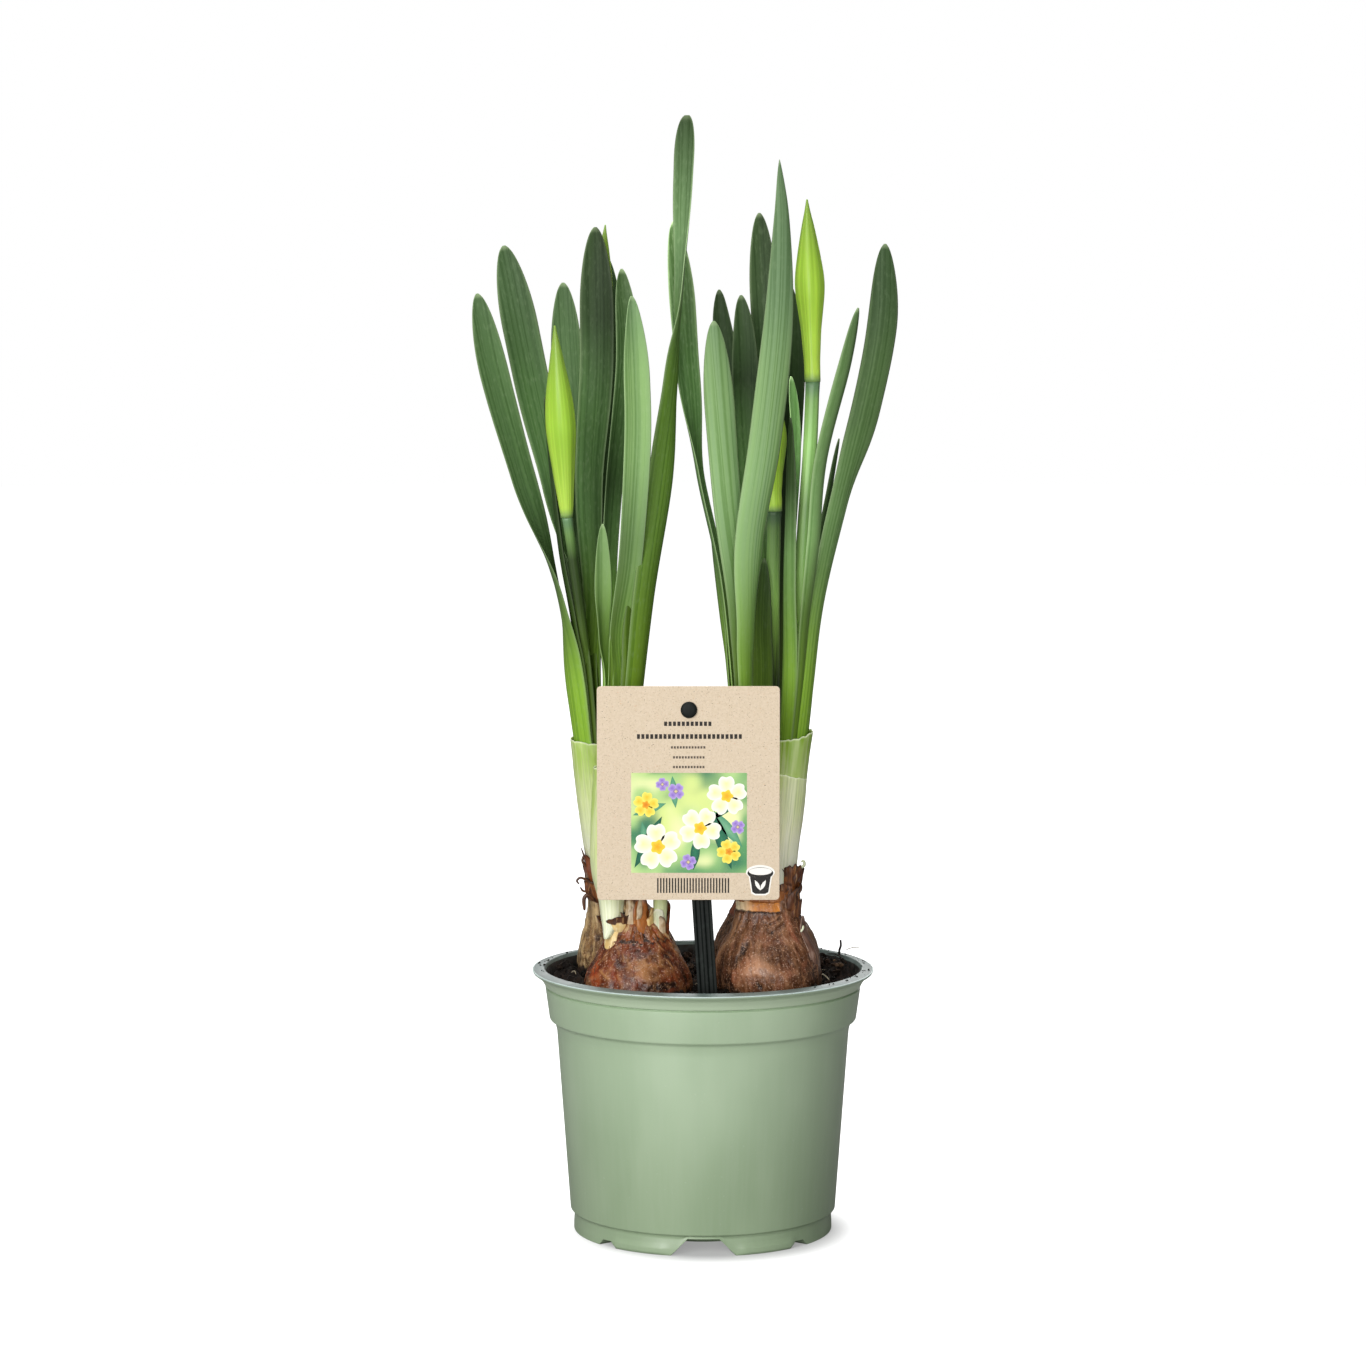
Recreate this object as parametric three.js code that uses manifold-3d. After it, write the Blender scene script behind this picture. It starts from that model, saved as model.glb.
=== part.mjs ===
// Potted daffodil in bud: a moulded pot of peat with four bulbs, their shoots and a card on a stake.
// Millimetres, +Z up. The origin is on the pot's axis, in the plane that the pot stands on.
// Looking along +Y shows the side with the card, with +X to the right.

import * as THREE from 'three';
import { mergeVertices } from 'three/addons/utils/BufferGeometryUtils.js';
import Module from 'manifold-3d';

const wasm = await Module();
wasm.setup();

const TURN = Math.PI * 2;
const GAP = 0.3;

// Pot
const RIM_RADIUS = 60;
const RIM_TOP = 92;
const FOOT_RADIUS = 45.5;
const POT_WALL = 1;
const FLOOR_THICKNESS = 1.2;
const POT_STEP = 7.5;
const POT_SIDES = 32;
const PAD_RADIUS = 24;
const FOOT_RING_RADIUS = 38;
const DRAIN_RING_HEIGHT = 3;
const DRAIN_RADIUS = 3.2;
const DRAIN_COUNT = 6;

// Foot notches: where each stands round the pot, its half angles at the top and bottom, and its height.
const BIG_NOTCH = { top: 6.9, bottom: 14.3, height: 6 };
const SMALL_NOTCH = { top: 2.5, bottom: 5.5, height: 2.2 };
const NOTCHES = [
  { at: -90, ...BIG_NOTCH },
  { at: 90, ...BIG_NOTCH },
  { at: -43, ...SMALL_NOTCH },
  { at: -137, ...SMALL_NOTCH },
  { at: 43, ...SMALL_NOTCH },
  { at: 137, ...SMALL_NOTCH },
];

// Soil
const SOIL_TOP = 87;
const SOIL_ROUGHNESS = 1.1;
const SOIL_EDGE = 53.5;
const SOIL_FLOOR_RADIUS = 44;

// Bulbs and sheaths
const BULB_SIDES = 16;
const SHEATH_WALL = 0.5;
const SHEATH_SIDES = 12;

// Card and stake
const CARD = { width: 62, height: 73, thickness: 0.6, corner: 1, x: -5.2, y: -42.6, bottom: 123 };
const STAKE = {
  width: 6.7, thickness: 2.2, top: 190, bottom: 42, point: 18, pointHalf: 0.6, x: -5, y: -40.4, lean: 3.7,
};
const STUD = { z: 188, head: 2.8, shank: 1.5, headThickness: 1 };

// Leaves. The cup is how far the margins stand proud of the middle, and a leaf is pressed narrower
// inside its shoot, up to the free height above its foot. Its sections crowd towards the tip.
const LEAF_THICKNESS = 1;
const LEAF_CUP = 1.4;
const LEAF_STATIONS = 11;
const TWISTED_STATIONS = 26;
const STATION_CROWDING = 1.35;
const BASE_WIDTH_SHARE = 0.82;
const TIP_THICKNESS_SHARE = 0.45;
const FREE_HEIGHT = 55;
const BLUNT_END = 0.35;
const CUP_MIDDLE = 0.4;
const SLIM_LEAF = { cup: 0.5, thickness: 0.7 };
const ROUND_TIP = { length: 32, power: 0.6 };
const POINTED_TIP = { length: 85, power: 0.72 };

const COLOURS = {
  pot: 0x93ab8a,
  soil: 0x1c1510,
  bulb: 0x7a4a30,
  sheath: 0xd3ddae,
  leaf: 0x55794c,
  stalk: 0x7ea75a,
  bud: 0xa9cf37,
  card: 0xe6d2b5,
  stake: 0x1f2a26,
};

// A shoot is the bundle of leaves that leaves a bulb through one sheath.
// foot and mouth are the bundle's centre where the leaves start and just above the sheath.
const SHOOTS = {
  backLeft: { foot: [-36, 18.5, 131], mouth: [-42, 15, 190], squeeze: 0.74 },
  frontLeft: { foot: [-32.8, -21.3, 129], mouth: [-27.3, -18.5, 190], squeeze: 0.76 },
  side: { foot: [-15, -21.5, 112], mouth: [-14.6, -21, 140], squeeze: 0.9 },
  frontMiddle: { foot: [16.4, -20.9, 125], mouth: [12.9, -18.5, 190], squeeze: 0.85 },
  frontRight: { foot: [26.5, -20.5, 133], mouth: [32.2, -17.5, 190], squeeze: 0.8 },
  backRight: { foot: [21, 20, 121], mouth: [22.4, 18, 190], squeeze: 0.85 },
};

const group = new THREE.Group();
const material = (kind, roughness = 0.6) =>
  new THREE.MeshStandardMaterial({ color: COLOURS[kind], roughness, metalness: 0 });

// Closed solids from three.js geometry, and back again

function solidOf(geometry) {
  const bare = geometry.index ? geometry.toNonIndexed() : geometry.clone();
  for (const name of Object.keys(bare.attributes)) {
    if (name !== 'position') bare.deleteAttribute(name);
  }
  const merged = mergeVertices(bare, 1e-4);
  return new wasm.Manifold(new wasm.Mesh({
    numProp: 3,
    vertProperties: new Float32Array(merged.attributes.position.array),
    triVerts: new Uint32Array(merged.index.array),
  }));
}

function geometryOf(solid) {
  const mesh = solid.getMesh();
  const geometry = new THREE.BufferGeometry();
  geometry.setAttribute('position', new THREE.BufferAttribute(new Float32Array(mesh.vertProperties), 3));
  geometry.setIndex(new THREE.BufferAttribute(new Uint32Array(mesh.triVerts), 1));
  return geometry;
}

// Rings of points, each with the same count, joined into one closed skin with a cap at each end.
function loft(rings) {
  const count = rings[0].length;
  const points = rings.flat();
  const faces = [];
  for (let ring = 0; ring < rings.length - 1; ring += 1) {
    for (let step = 0; step < count; step += 1) {
      const a = ring * count + step;
      const b = ring * count + (step + 1) % count;
      faces.push(a, b, b + count, a, b + count, a + count);
    }
  }
  const centre = (ring) => ring.reduce((sum, p) => sum.add(p), new THREE.Vector3()).divideScalar(count);
  const firstCentre = points.length;
  points.push(centre(rings[0]), centre(rings[rings.length - 1]));
  const lastRing = (rings.length - 1) * count;
  for (let step = 0; step < count; step += 1) {
    const next = (step + 1) % count;
    faces.push(firstCentre, next, step);
    faces.push(firstCentre + 1, lastRing + step, lastRing + next);
  }
  const geometry = new THREE.BufferGeometry().setFromPoints(points);
  geometry.setIndex(faces);
  return geometry;
}

// An upright ring of points: an oval of the given half sizes, its first axis turned by the angle.
function ovalRing([x, y, z], halfA, halfB, angle, count) {
  const ring = [];
  for (let step = 0; step < count; step += 1) {
    const t = step / count * TURN;
    const along = halfA * Math.cos(t);
    const across = halfB * Math.sin(t);
    const turn = angle / 360 * TURN;
    ring.push(new THREE.Vector3(
      x + along * Math.cos(turn) - across * Math.sin(turn),
      y + along * Math.sin(turn) + across * Math.cos(turn),
      z,
    ));
  }
  return ring;
}

// Pot

// The height that a foot notch lifts the floor to, at an angle round the pot.
function notchLift(degrees) {
  let lift = 0;
  for (const notch of NOTCHES) {
    const away = Math.abs((degrees - notch.at + 540) % 360 - 180);
    const slope = (notch.bottom - away) / (notch.bottom - notch.top);
    lift = Math.max(lift, notch.height * Math.min(1, Math.max(0, slope)));
  }
  return lift;
}

// Angles round the pot: even steps, with the corners of the notches in place of those beside them.
function potAngles() {
  const corners = NOTCHES.flatMap((notch) => [-notch.bottom, -notch.top, notch.top, notch.bottom]
    .map((offset) => (notch.at + offset + 360) % 360));
  const even = Array.from({ length: POT_SIDES }, (_, step) => step * 360 / POT_SIDES);
  const clear = even.filter((angle) => corners.every((corner) => {
    const away = Math.abs(angle - corner);
    return Math.min(away, 360 - away) > 3;
  }));
  return [...corners, ...clear].sort((a, b) => a - b);
}

// Underside of the floor, from the foot's edge inwards: radius, height when no notch crosses it,
// and how much of a notch's lift reaches it.
const UNDERSIDE = [
  [FOOT_RADIUS, 0, 1],
  [FOOT_RING_RADIUS, 0, 1],
  [FOOT_RING_RADIUS - 2, DRAIN_RING_HEIGHT, 0.6],
  [PAD_RADIUS + 2, DRAIN_RING_HEIGHT, 0],
  [PAD_RADIUS, 0, 0],
];

const undersideHeight = ([, level, share], degrees) => Math.max(level, share * notchLift(degrees));

// Outer wall above the foot: radius and height. Over a notch its lowest rows move up, in small steps.
const ROW_STEP = 0.4;
const OUTER_WALL = [
  [45.5, 4.8],
  [46.7, POT_STEP],
  [51.4, 71.2],
  [53.9, 75.4],
  [54.9, 84.3],
  [55.6, 86.8],
  [57.2, 89],
  [RIM_RADIUS, 90],
  [RIM_RADIUS, RIM_TOP],
  [55.8, 93.2],
];

// Inner wall from the rim down to the floor.
const INNER_WALL = [
  [54.7, 90.5],
  [53.9, 84.4],
  [52.8, 75.6],
  [50.3, 71.2],
  [45.7, POT_STEP + 1],
];

function potProfile(degrees) {
  const lift = notchLift(degrees);
  const profile = UNDERSIDE.toReversed().map((row) => [row[0], undersideHeight(row, degrees)]);
  OUTER_WALL.forEach(([radius, z], index) => {
    profile.push([radius, Math.max(z, lift + ROW_STEP * (index + 1))]);
  });
  profile.push(...INNER_WALL);
  for (const row of UNDERSIDE) {
    const inset = row[0] === FOOT_RADIUS ? POT_WALL + 0.2 : 0;
    profile.push([row[0] - inset, undersideHeight(row, degrees) + FLOOR_THICKNESS]);
  }
  return profile;
}

// A skin whose rows run round the axis, closed on the axis at both ends.
function skinRoundAxis(profiles, angles) {
  const rows = profiles[0].length;
  const points = [];
  profiles.forEach((profile, column) => {
    const turn = angles[column] / 360 * TURN;
    for (const [radius, z] of profile) {
      points.push(new THREE.Vector3(radius * Math.cos(turn), radius * Math.sin(turn), z));
    }
  });
  const start = points.length;
  points.push(new THREE.Vector3(0, 0, profiles[0][0][1]));
  points.push(new THREE.Vector3(0, 0, profiles[0][rows - 1][1]));
  const faces = [];
  profiles.forEach((profile, column) => {
    const here = column * rows;
    const next = ((column + 1) % profiles.length) * rows;
    faces.push(start, next, here);
    for (let row = 0; row < rows - 1; row += 1) {
      faces.push(here + row, next + row, next + row + 1, here + row, next + row + 1, here + row + 1);
    }
    faces.push(start + 1, here + rows - 1, next + rows - 1);
  });
  const geometry = new THREE.BufferGeometry().setFromPoints(points);
  geometry.setIndex(faces);
  return geometry;
}

function potSolid() {
  const angles = potAngles();
  const body = solidOf(skinRoundAxis(angles.map(potProfile), angles));
  const holes = [];
  const ringRadius = (PAD_RADIUS + FOOT_RING_RADIUS) / 2;
  for (let hole = 0; hole < DRAIN_COUNT; hole += 1) {
    const turn = hole / DRAIN_COUNT * TURN;
    const drill = new THREE.CylinderGeometry(DRAIN_RADIUS, DRAIN_RADIUS, 3 * DRAIN_RING_HEIGHT, 12);
    drill.rotateX(Math.PI / 2);
    drill.translate(ringRadius * Math.cos(turn), ringRadius * Math.sin(turn), DRAIN_RING_HEIGHT);
    holes.push(solidOf(drill));
  }
  return holes.reduce((pot, hole) => pot.subtract(hole), body);
}

// Soil: it fills the pot and is cut round the bulbs and the stake.

function soilHeight(radius, turn) {
  const x = radius * Math.cos(turn);
  const y = radius * Math.sin(turn);
  const waves = Math.sin(x * 0.31 + 1.7) * Math.cos(y * 0.27) + 0.5 * Math.sin(x * 0.83 - y * 0.61);
  return SOIL_TOP + SOIL_ROUGHNESS * waves;
}

function soilProfile(degrees) {
  const turn = degrees / 360 * TURN;
  const floor = UNDERSIDE.toReversed().map(([radius, level, share]) => {
    const floorTop = Math.max(level, share * BIG_NOTCH.height) + FLOOR_THICKNESS;
    return [Math.min(radius, SOIL_FLOOR_RADIUS), floorTop + GAP];
  });
  const wall = INNER_WALL.toReversed().slice(0, -2).map(([radius, z]) => [radius - GAP - 0.1, z + GAP]);
  const top = [SOIL_EDGE, 46, 36, 24, 12].map((radius) => [radius, soilHeight(radius, turn)]);
  return [...floor, ...wall, ...top];
}

// Bulbs: ovals from the root plate up to the neck. Each row is the centre, then the half sizes.
const BULBS = {
  bulb_front_left: [
    [-22.7, -22, 64, 5, 5], [-22.7, -22, 67, 9, 9], [-22.7, -22, 74, 14.5, 14.5], [-22.7, -22, 82, 18, 17.6],
    [-22.7, -22, 90, 18.8, 18], [-22.6, -22, 96, 17.4, 16], [-22.6, -22, 101, 14.4, 12.2],
    [-22.8, -22, 105, 12, 8.6], [-23, -22, 108.5, 11.4, 6.6],
  ],
  bulb_front_right: [
    [22.3, -22.1, 68, 5, 5], [22.3, -22.1, 71, 9, 9], [22.3, -22.1, 78, 14.5, 14.5],
    [22.3, -22.1, 87, 18, 17.4], [22.3, -22, 96, 18.8, 18], [22.2, -22, 103, 17, 15],
    [22.1, -21.6, 110, 13, 10.6], [22.1, -21.3, 116, 11.4, 8], [22.2, -21, 121, 11, 7],
  ],
  bulb_back_left: [
    [-26, 22, 66, 5, 5], [-26, 22, 69, 9, 9], [-26, 22, 76, 14.5, 14.5], [-26, 22, 84, 17.8, 17.4],
    [-26, 22, 92, 18.6, 17.8], [-26.6, 21.8, 99, 16.6, 15.4], [-28, 21.4, 106, 13.4, 11],
    [-31, 20.4, 113, 9.6, 8], [-34, 19.4, 121, 7, 6.6], [-35.6, 18.8, 126, 6, 6],
  ],
  bulb_back_right: [
    [22.5, 22, 66, 5, 5], [22.5, 22, 69, 9, 9], [22.5, 22, 76, 14.5, 14.5], [22.5, 22, 85, 18, 17.6],
    [22.5, 22, 94, 19, 18], [22.4, 21.8, 101, 17, 15.4], [22, 21.4, 108, 13, 11.4],
    [21.4, 20.6, 114, 9, 8.4], [21, 20.2, 117.5, 7.6, 7.6],
  ],
};

function bulbSolid(rows, grow = 0) {
  const rings = rows.map(([x, y, z, halfX, halfY]) =>
    ovalRing([x, y, z], halfX + grow, halfY + grow, 0, BULB_SIDES));
  if (grow > 0) {
    rings[0].forEach((point) => { point.z -= grow; });
    rings[rings.length - 1].forEach((point) => { point.z += grow; });
  }
  return solidOf(loft(rings));
}

// Sheaths: thin tubes, solid at the bottom and open at the top. Rows run from the bulb's neck upwards:
// the centre, the half sizes along and across the bundle, and the wall's inset where it is hollow.
const SHEATHS = {
  sheath_back_left: {
    angle: -45,
    floor: 1,
    rows: [[-35.6, 18.8, 126.4, 5.6, 5.6], [-36, 18.5, 130.4, 5.6, 5.9], [-38, 17.4, 150, 6.2, 6.7],
      [-40.2, 16.1, 172.5, 6.7, 7.3]],
  },
  sheath_front_left: {
    angle: 45,
    floor: 2,
    rows: [[-30.2, -22, 108.9, 3.4, 3.4], [-31.6, -21.6, 116, 4, 4], [-32.8, -21.3, 128.4, 5.4, 5.8],
      [-32.4, -21, 146, 6.2, 6.8], [-30.4, -20.1, 165, 6.7, 7.6]],
  },
  sheath_side: {
    angle: 0,
    floor: 0,
    rows: [[-15, -22, 108.9, 2.1, 2.1], [-14.8, -21.5, 122, 2.3, 2.3], [-14.7, -21.2, 136, 2.4, 2.4]],
  },
  sheath_front_middle: {
    angle: 64,
    floor: 0,
    rows: [[16.6, -21, 121.4, 6, 4.4], [15.3, -20.2, 143, 6.4, 4.8], [13.9, -19.1, 168, 6.9, 5.2]],
  },
  sheath_front_right: {
    angle: 90,
    floor: 1,
    rows: [[26.6, -20.8, 121.4, 4.2, 4.2], [26.4, -20.5, 132, 5.6, 5], [28.6, -19.4, 154, 6.2, 5.7],
      [31, -18.2, 176, 6.9, 6.3]],
  },
  sheath_back_right: {
    angle: 20,
    floor: 0,
    rows: [[21, 20, 117.9, 6.4, 6.4], [21.4, 19.3, 143, 6.8, 6.8], [22, 18.6, 170, 7.3, 7.3]],
  },
};
function sheathSolid({ rows, angle, floor }) {
  const ring = ([x, y, z, halfA, halfB], inset) =>
    ovalRing([x, y, z], halfA - inset, halfB - inset, angle, SHEATH_SIDES);
  const outside = solidOf(loft(rows.map((row) => ring(row, 0))));
  const hollow = rows.slice(floor).map((row) => ring(row, SHEATH_WALL));
  hollow[0].forEach((point) => { point.z += 1; });
  hollow[hollow.length - 1].forEach((point) => { point.z += 2; });
  return outside.subtract(solidOf(loft(hollow)));
}

// A leaf is a curved strap along a smooth line. Its wide axis turns about that line: at 0 degrees it lies
// along +X with the hollow inner face towards -Y, and at 90 degrees along +Y with that face towards +X.

function smoothLine(points) {
  const places = points.map((point) => new THREE.Vector3(...point));
  const line = new THREE.CatmullRomCurve3(places, false, 'catmullrom', 0.5);
  line.arcLengthDivisions = 120;
  return line;
}

// The turn at a place along the line, eased halfway between a straight and a smooth blend.
function turnAt(turns, t) {
  const spans = turns.length - 1;
  const index = Math.min(Math.floor(t * spans), spans - 1);
  const share = t * spans - index;
  const blend = (THREE.MathUtils.smootherstep(share, 0, 1) + share) / 2;
  return THREE.MathUtils.lerp(turns[index], turns[index + 1], blend) / 360 * TURN;
}

function leafFoot(shoot, [x, y, z]) {
  const [footX, footY, footZ] = shoot.foot;
  const [mouthX, mouthY] = shoot.mouth;
  const rise = (z - footZ) / (shoot.mouth[2] - footZ);
  const centreX = footX + (mouthX - footX) * rise;
  const centreY = footY + (mouthY - footY) * rise;
  return [footX + (x - centreX) * shoot.squeeze, footY + (y - centreY) * shoot.squeeze, footZ];
}

// Section of a leaf as pairs: place across the width from -1 to 1, and share of the thickness.
const LEAF_SECTION = [[-1, 0], [-0.5, 0.5], [0.5, 0.5], [1, 0], [0.5, -0.4], [-0.5, -0.4]];

// grow is the clearance for the larger shape that cuts its neighbours. It widens both edges by twice
// that much and thickens the strap, because the faceted strap leans out of its own straight section.
function leafSolid(spec, grow = 0) {
  const { shoot, width, tip = ROUND_TIP, thickness = LEAF_THICKNESS, cup = LEAF_CUP } = spec;
  const { stations = LEAF_STATIONS } = spec;
  const foot = leafFoot(shoot, spec.path[0]);
  const line = smoothLine([foot, ...spec.path.map((p) => p.slice(0, 3))]);
  const turns = [spec.path[0][3], ...spec.path.map((p) => p[3])];
  const length = line.getLength();
  const rings = [];
  for (let station = 0; station <= stations; station += 1) {
    const share = station / stations;
    const tipGrowth = station === stations ? grow : 0;
    const along = length * (1 - (1 - share) ** STATION_CROWDING) + tipGrowth;
    const t = line.getUtoTmapping(Math.min(along / length, 1));
    const centre = line.getPoint(t);
    const tangent = line.getTangent(t);
    const turn = turnAt(turns, t);
    const wide = new THREE.Vector3(Math.cos(turn), Math.sin(turn), 0);
    wide.addScaledVector(tangent, -wide.dot(tangent)).normalize();
    const inner = new THREE.Vector3().crossVectors(wide, tangent);
    const toTip = Math.max(length - along, BLUNT_END);
    const taper = Math.sin(Math.PI / 2 * Math.min(1, toTip / tip.length)) ** tip.power;
    const growth = BASE_WIDTH_SHARE + (1 - BASE_WIDTH_SHARE) * Math.min(1, along / (0.5 * length));
    const free = Math.min(1, (centre.z - foot[2]) / FREE_HEIGHT);
    const squeeze = THREE.MathUtils.lerp(shoot.squeeze, 1, free);
    const half = width / 2 * taper * growth * squeeze;
    const reach = half + 2 * grow;
    const slim = THREE.MathUtils.lerp(TIP_THICKNESS_SHARE, 1, taper);
    const thick = thickness * slim * squeeze + 3.2 * grow;
    const depth = cup * taper * squeeze;
    const curve = depth * (reach / half) ** 2;
    rings.push(LEAF_SECTION.map(([across, level]) => centre.clone()
      .addScaledVector(wide, across * reach)
      .addScaledVector(inner, level * thick + curve * across * across - CUP_MIDDLE * depth)));
  }
  return solidOf(loft(rings));
}

const leaf = (name, shoot, width, path, more = {}) => ({ name, shoot, width, path, ...more });

// Each path starts just above the sheath. A point is x, y, z and the turn of the wide axis in degrees.
const { backLeft, frontLeft, side, frontMiddle, frontRight, backRight } = SHOOTS;
const LEAVES = [
  leaf('leaf_left_1', backLeft, 11, [[-45.3, 11.6, 190, 135], [-50.5, 8.5, 224, 95],
    [-62.5, 7, 262, 40], [-73, 10, 300, 22], [-79, 14, 328.5, 12]]),
  leaf('leaf_left_2', backLeft, 13, [[-43.3, 13.6, 190, 135], [-45.5, 16, 221, 105],
    [-52, 21, 258, 45], [-61, 27, 299, 15], [-70.5, 34, 345.5, 5]]),
  leaf('leaf_left_3', backLeft, 11.5, [[-40.2, 16.8, 190, -45], [-42, 22.5, 220, -30],
    [-45, 30, 262, -12], [-48, 37, 303, -5], [-49.8, 42, 332.5, 0]]),
  leaf('leaf_left_4', backLeft, 12, [[-39.3, 17.8, 190, -45], [-38.3, 12.6, 221, -55],
    [-39.5, 11, 262, -35], [-37, 10, 305, -8], [-37.5, 9, 351.5, 0]]),
  leaf('leaf_left_5', backLeft, 9, [[-38.3, 18.8, 190, -45], [-36.5, 20.5, 240, -50],
    [-34, 22, 285, -35], [-31.8, 24, 318, -30], [-33.5, 26, 341, -25]]),
  leaf('leaf_left_6', frontLeft, 9, [[-29.6, -13.8, 190, 45], [-33, -6, 223, 60],
    [-31.5, -1, 262, 50], [-26.5, 2, 305, 25], [-28.3, 3, 337, 10]]),
  leaf('leaf_left_7', frontLeft, 9.5, [[-28.8, -15.8, 190, 45], [-29.3, -17.5, 212, 42],
    [-25.5, -19.5, 237, 30], [-22.8, -21, 275, 15], [-23, -22.5, 300, 20], [-24.5, -24, 327.5, 35]]),
  leaf('leaf_left_8', backLeft, 7, [[-43, 11.2, 190, 125], [-45.3, 8.6, 213, 95],
    [-49.5, 6.5, 238, 90], [-52.5, 6, 265, 85], [-55.2, 5.5, 292.5, 80]]),
  leaf('leaf_left_9', frontLeft, 6.5, [[-33.8, -15.5, 190, 75], [-34.7, -18.8, 212, 55],
    [-34.6, -22, 232, 15], [-34.5, -25, 250, 5]]),
  leaf('leaf_left_10', frontLeft, 10, [[-23.6, -22, 190, -134], [-20, -17.5, 225, -140],
    [-14.5, -10, 264, -150], [-10.5, -5, 300, -118], [-8, -3, 330, -75], [-6.5, -2, 365, -48],
    [-5.5, -2, 389.5, -40]], { stations: TWISTED_STATIONS }),
  leaf('leaf_left_11', frontLeft, 8, [[-25.4, -20.2, 190, -134], [-25, -16.4, 212, -125],
    [-24.4, -13.6, 231, -110]]),
  leaf('leaf_left_12', frontLeft, 3.4, [[-32.4, -20.4, 190, 60], [-32, -21.3, 211.5, 50]], SLIM_LEAF),
  leaf('leaf_side_1', side, 3, [[-15.1, -21, 140, 20], [-15, -20.6, 152, 20], [-14.6, -20.2, 166, 20]],
    SLIM_LEAF),
  leaf('leaf_side_2', side, 2.8, [[-14.4, -22, 140, 200], [-13.8, -22.4, 150, 200],
    [-13, -22.6, 158, 200]], SLIM_LEAF),
  leaf('leaf_right_1', frontMiddle, 9.5, [[11.4, -17.8, 190, 64], [6, -12, 232, 80],
    [-1.5, -4, 267, 80], [-5.5, 4, 300, 30], [-7.8, 8, 330, 15], [-10.3, 10, 353.5, 10]]),
  leaf('leaf_right_2', frontMiddle, 10.5, [[13.9, -19.2, 190, -116], [12, -21, 222, -125],
    [8, -25, 262, -160], [5.2, -28, 295, -172], [3.4, -30, 319, -180]]),
  leaf('leaf_right_3', backRight, 8.5, [[19.6, 20.5, 190, -20], [17.5, 23, 235, -10],
    [11.5, 27, 284, -5], [7, 32, 316, 0], [5.8, 34, 330, 0]]),
  leaf('leaf_right_4', backRight, 9.5, [[20.4, 18, 190, -20], [19, 17.5, 235, -10],
    [15.5, 18, 282, 0], [14.6, 20, 311, 0], [13.4, 21.5, 328, 0]]),
  leaf('leaf_right_5', frontMiddle, 11.5, [[15.3, -20, 190, -116], [15.2, -23, 215, -124],
    [16, -27, 244, -150], [21, -31, 278, -165], [25.3, -34, 318, -170], [26.3, -36, 352, -165],
    [25.4, -37, 373, -160]], { tip: POINTED_TIP }),
  leaf('leaf_right_6', backRight, 10, [[23.4, 22.5, 190, -25], [24.4, 24.5, 240, -20],
    [23.6, 28, 290, -10], [21.6, 31, 330, -5], [20, 34, 357, 0]]),
  leaf('leaf_right_7', backRight, 9, [[27.2, 18, 190, 60], [28.5, 17, 230, 50],
    [30.2, 17, 270, 35], [31.6, 18, 305, 25], [30.2, 19, 332, 15]]),
  leaf('leaf_right_8', frontRight, 7.5, [[33.2, -21.4, 190, -105], [35, -22.6, 215, -112],
    [38, -25, 243, -125], [40.5, -27, 272, -125], [48.5, -30, 305, -130], [52.3, -32, 323.5, -135]]),
  leaf('leaf_right_9', frontRight, 10.5, [[35.8, -19.2, 190, -120], [39.5, -17.6, 222, -122],
    [47.5, -14, 258, -130], [56, -10, 288, -165], [61.8, -6, 318, -175], [62.8, -2, 345.5, -178]]),
  leaf('leaf_right_10', frontRight, 6, [[36.8, -14.2, 190, -80], [39.5, -9, 235, -95],
    [44, -6, 262, -100], [47, -5, 278.5, -105]]),
  leaf('leaf_right_11', backRight, 8, [[20.8, 13.2, 190, 155], [20.5, 11, 212, 150],
    [21.5, 9.5, 236, 140]]),
  leaf('leaf_right_12', frontRight, 9, [[28.9, -20, 190, 125], [29, -20, 229, 115],
    [29.5, -18, 258, 110], [29.8, -16, 286, 105]]),
  leaf('leaf_right_13', frontRight, 7, [[28.6, -14, 190, 80], [30.8, -11, 237, 90],
    [31.4, -9, 278, 60], [30.2, -8, 300, 40]]),
  leaf('leaf_right_14', frontMiddle, 7, [[10, -17, 190, 64], [6.5, -9, 218, 90], [2.6, -3, 249, 90]]),
];

// Flower stalks with their closed buds. The stalk's path starts just above the sheath.
const STALKS = [
  { number: 1, shoot: backLeft, radius: 1.7, base: [-40.3, 13.4, 190],
    path: [[-42.6, 7, 214], [-45.8, -0.5, 240], [-47.3, -4.4, 251.7]], tip: [-51, -14, 317.5], bud: 5.2 },
  { number: 2, shoot: frontRight, radius: 2.4, base: [32.4, -15, 190],
    path: [[34.2, -15, 240], [36.6, -14, 275], [37.5, -13.5, 298.6]], tip: [35.4, -13, 360.5], bud: 5.1 },
  { number: 3, shoot: backRight, radius: 2.4, base: [24.6, 16.6, 190],
    path: [[24.5, 13.5, 222], [25, 11, 253]], tip: [24.2, 9, 300], bud: 4.6 },
  { number: 4, shoot: backLeft, radius: 1.6, base: [-43.4, 16.6, 190],
    path: [[-41.4, 17.6, 221], [-39.4, 17.6, 262], [-37.4, 17.6, 300]], tip: [-34.2, 17, 352.5], bud: 4 },
];
const BUD_RADII = [0.5, 0.62, 0.82, 0.97, 1, 0.9, 0.62, 0.42, 0.26, 0.07];
const BUD_PLACES = [0, 0.12, 0.28, 0.44, 0.56, 0.68, 0.8, 0.89, 0.96, 1];

function tubeSection(radius, sides = 8) {
  return new THREE.Shape(Array.from({ length: sides }, (_, side) => {
    const turn = side / sides * TURN;
    return new THREE.Vector2(radius * Math.cos(turn), radius * Math.sin(turn));
  }));
}

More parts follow.
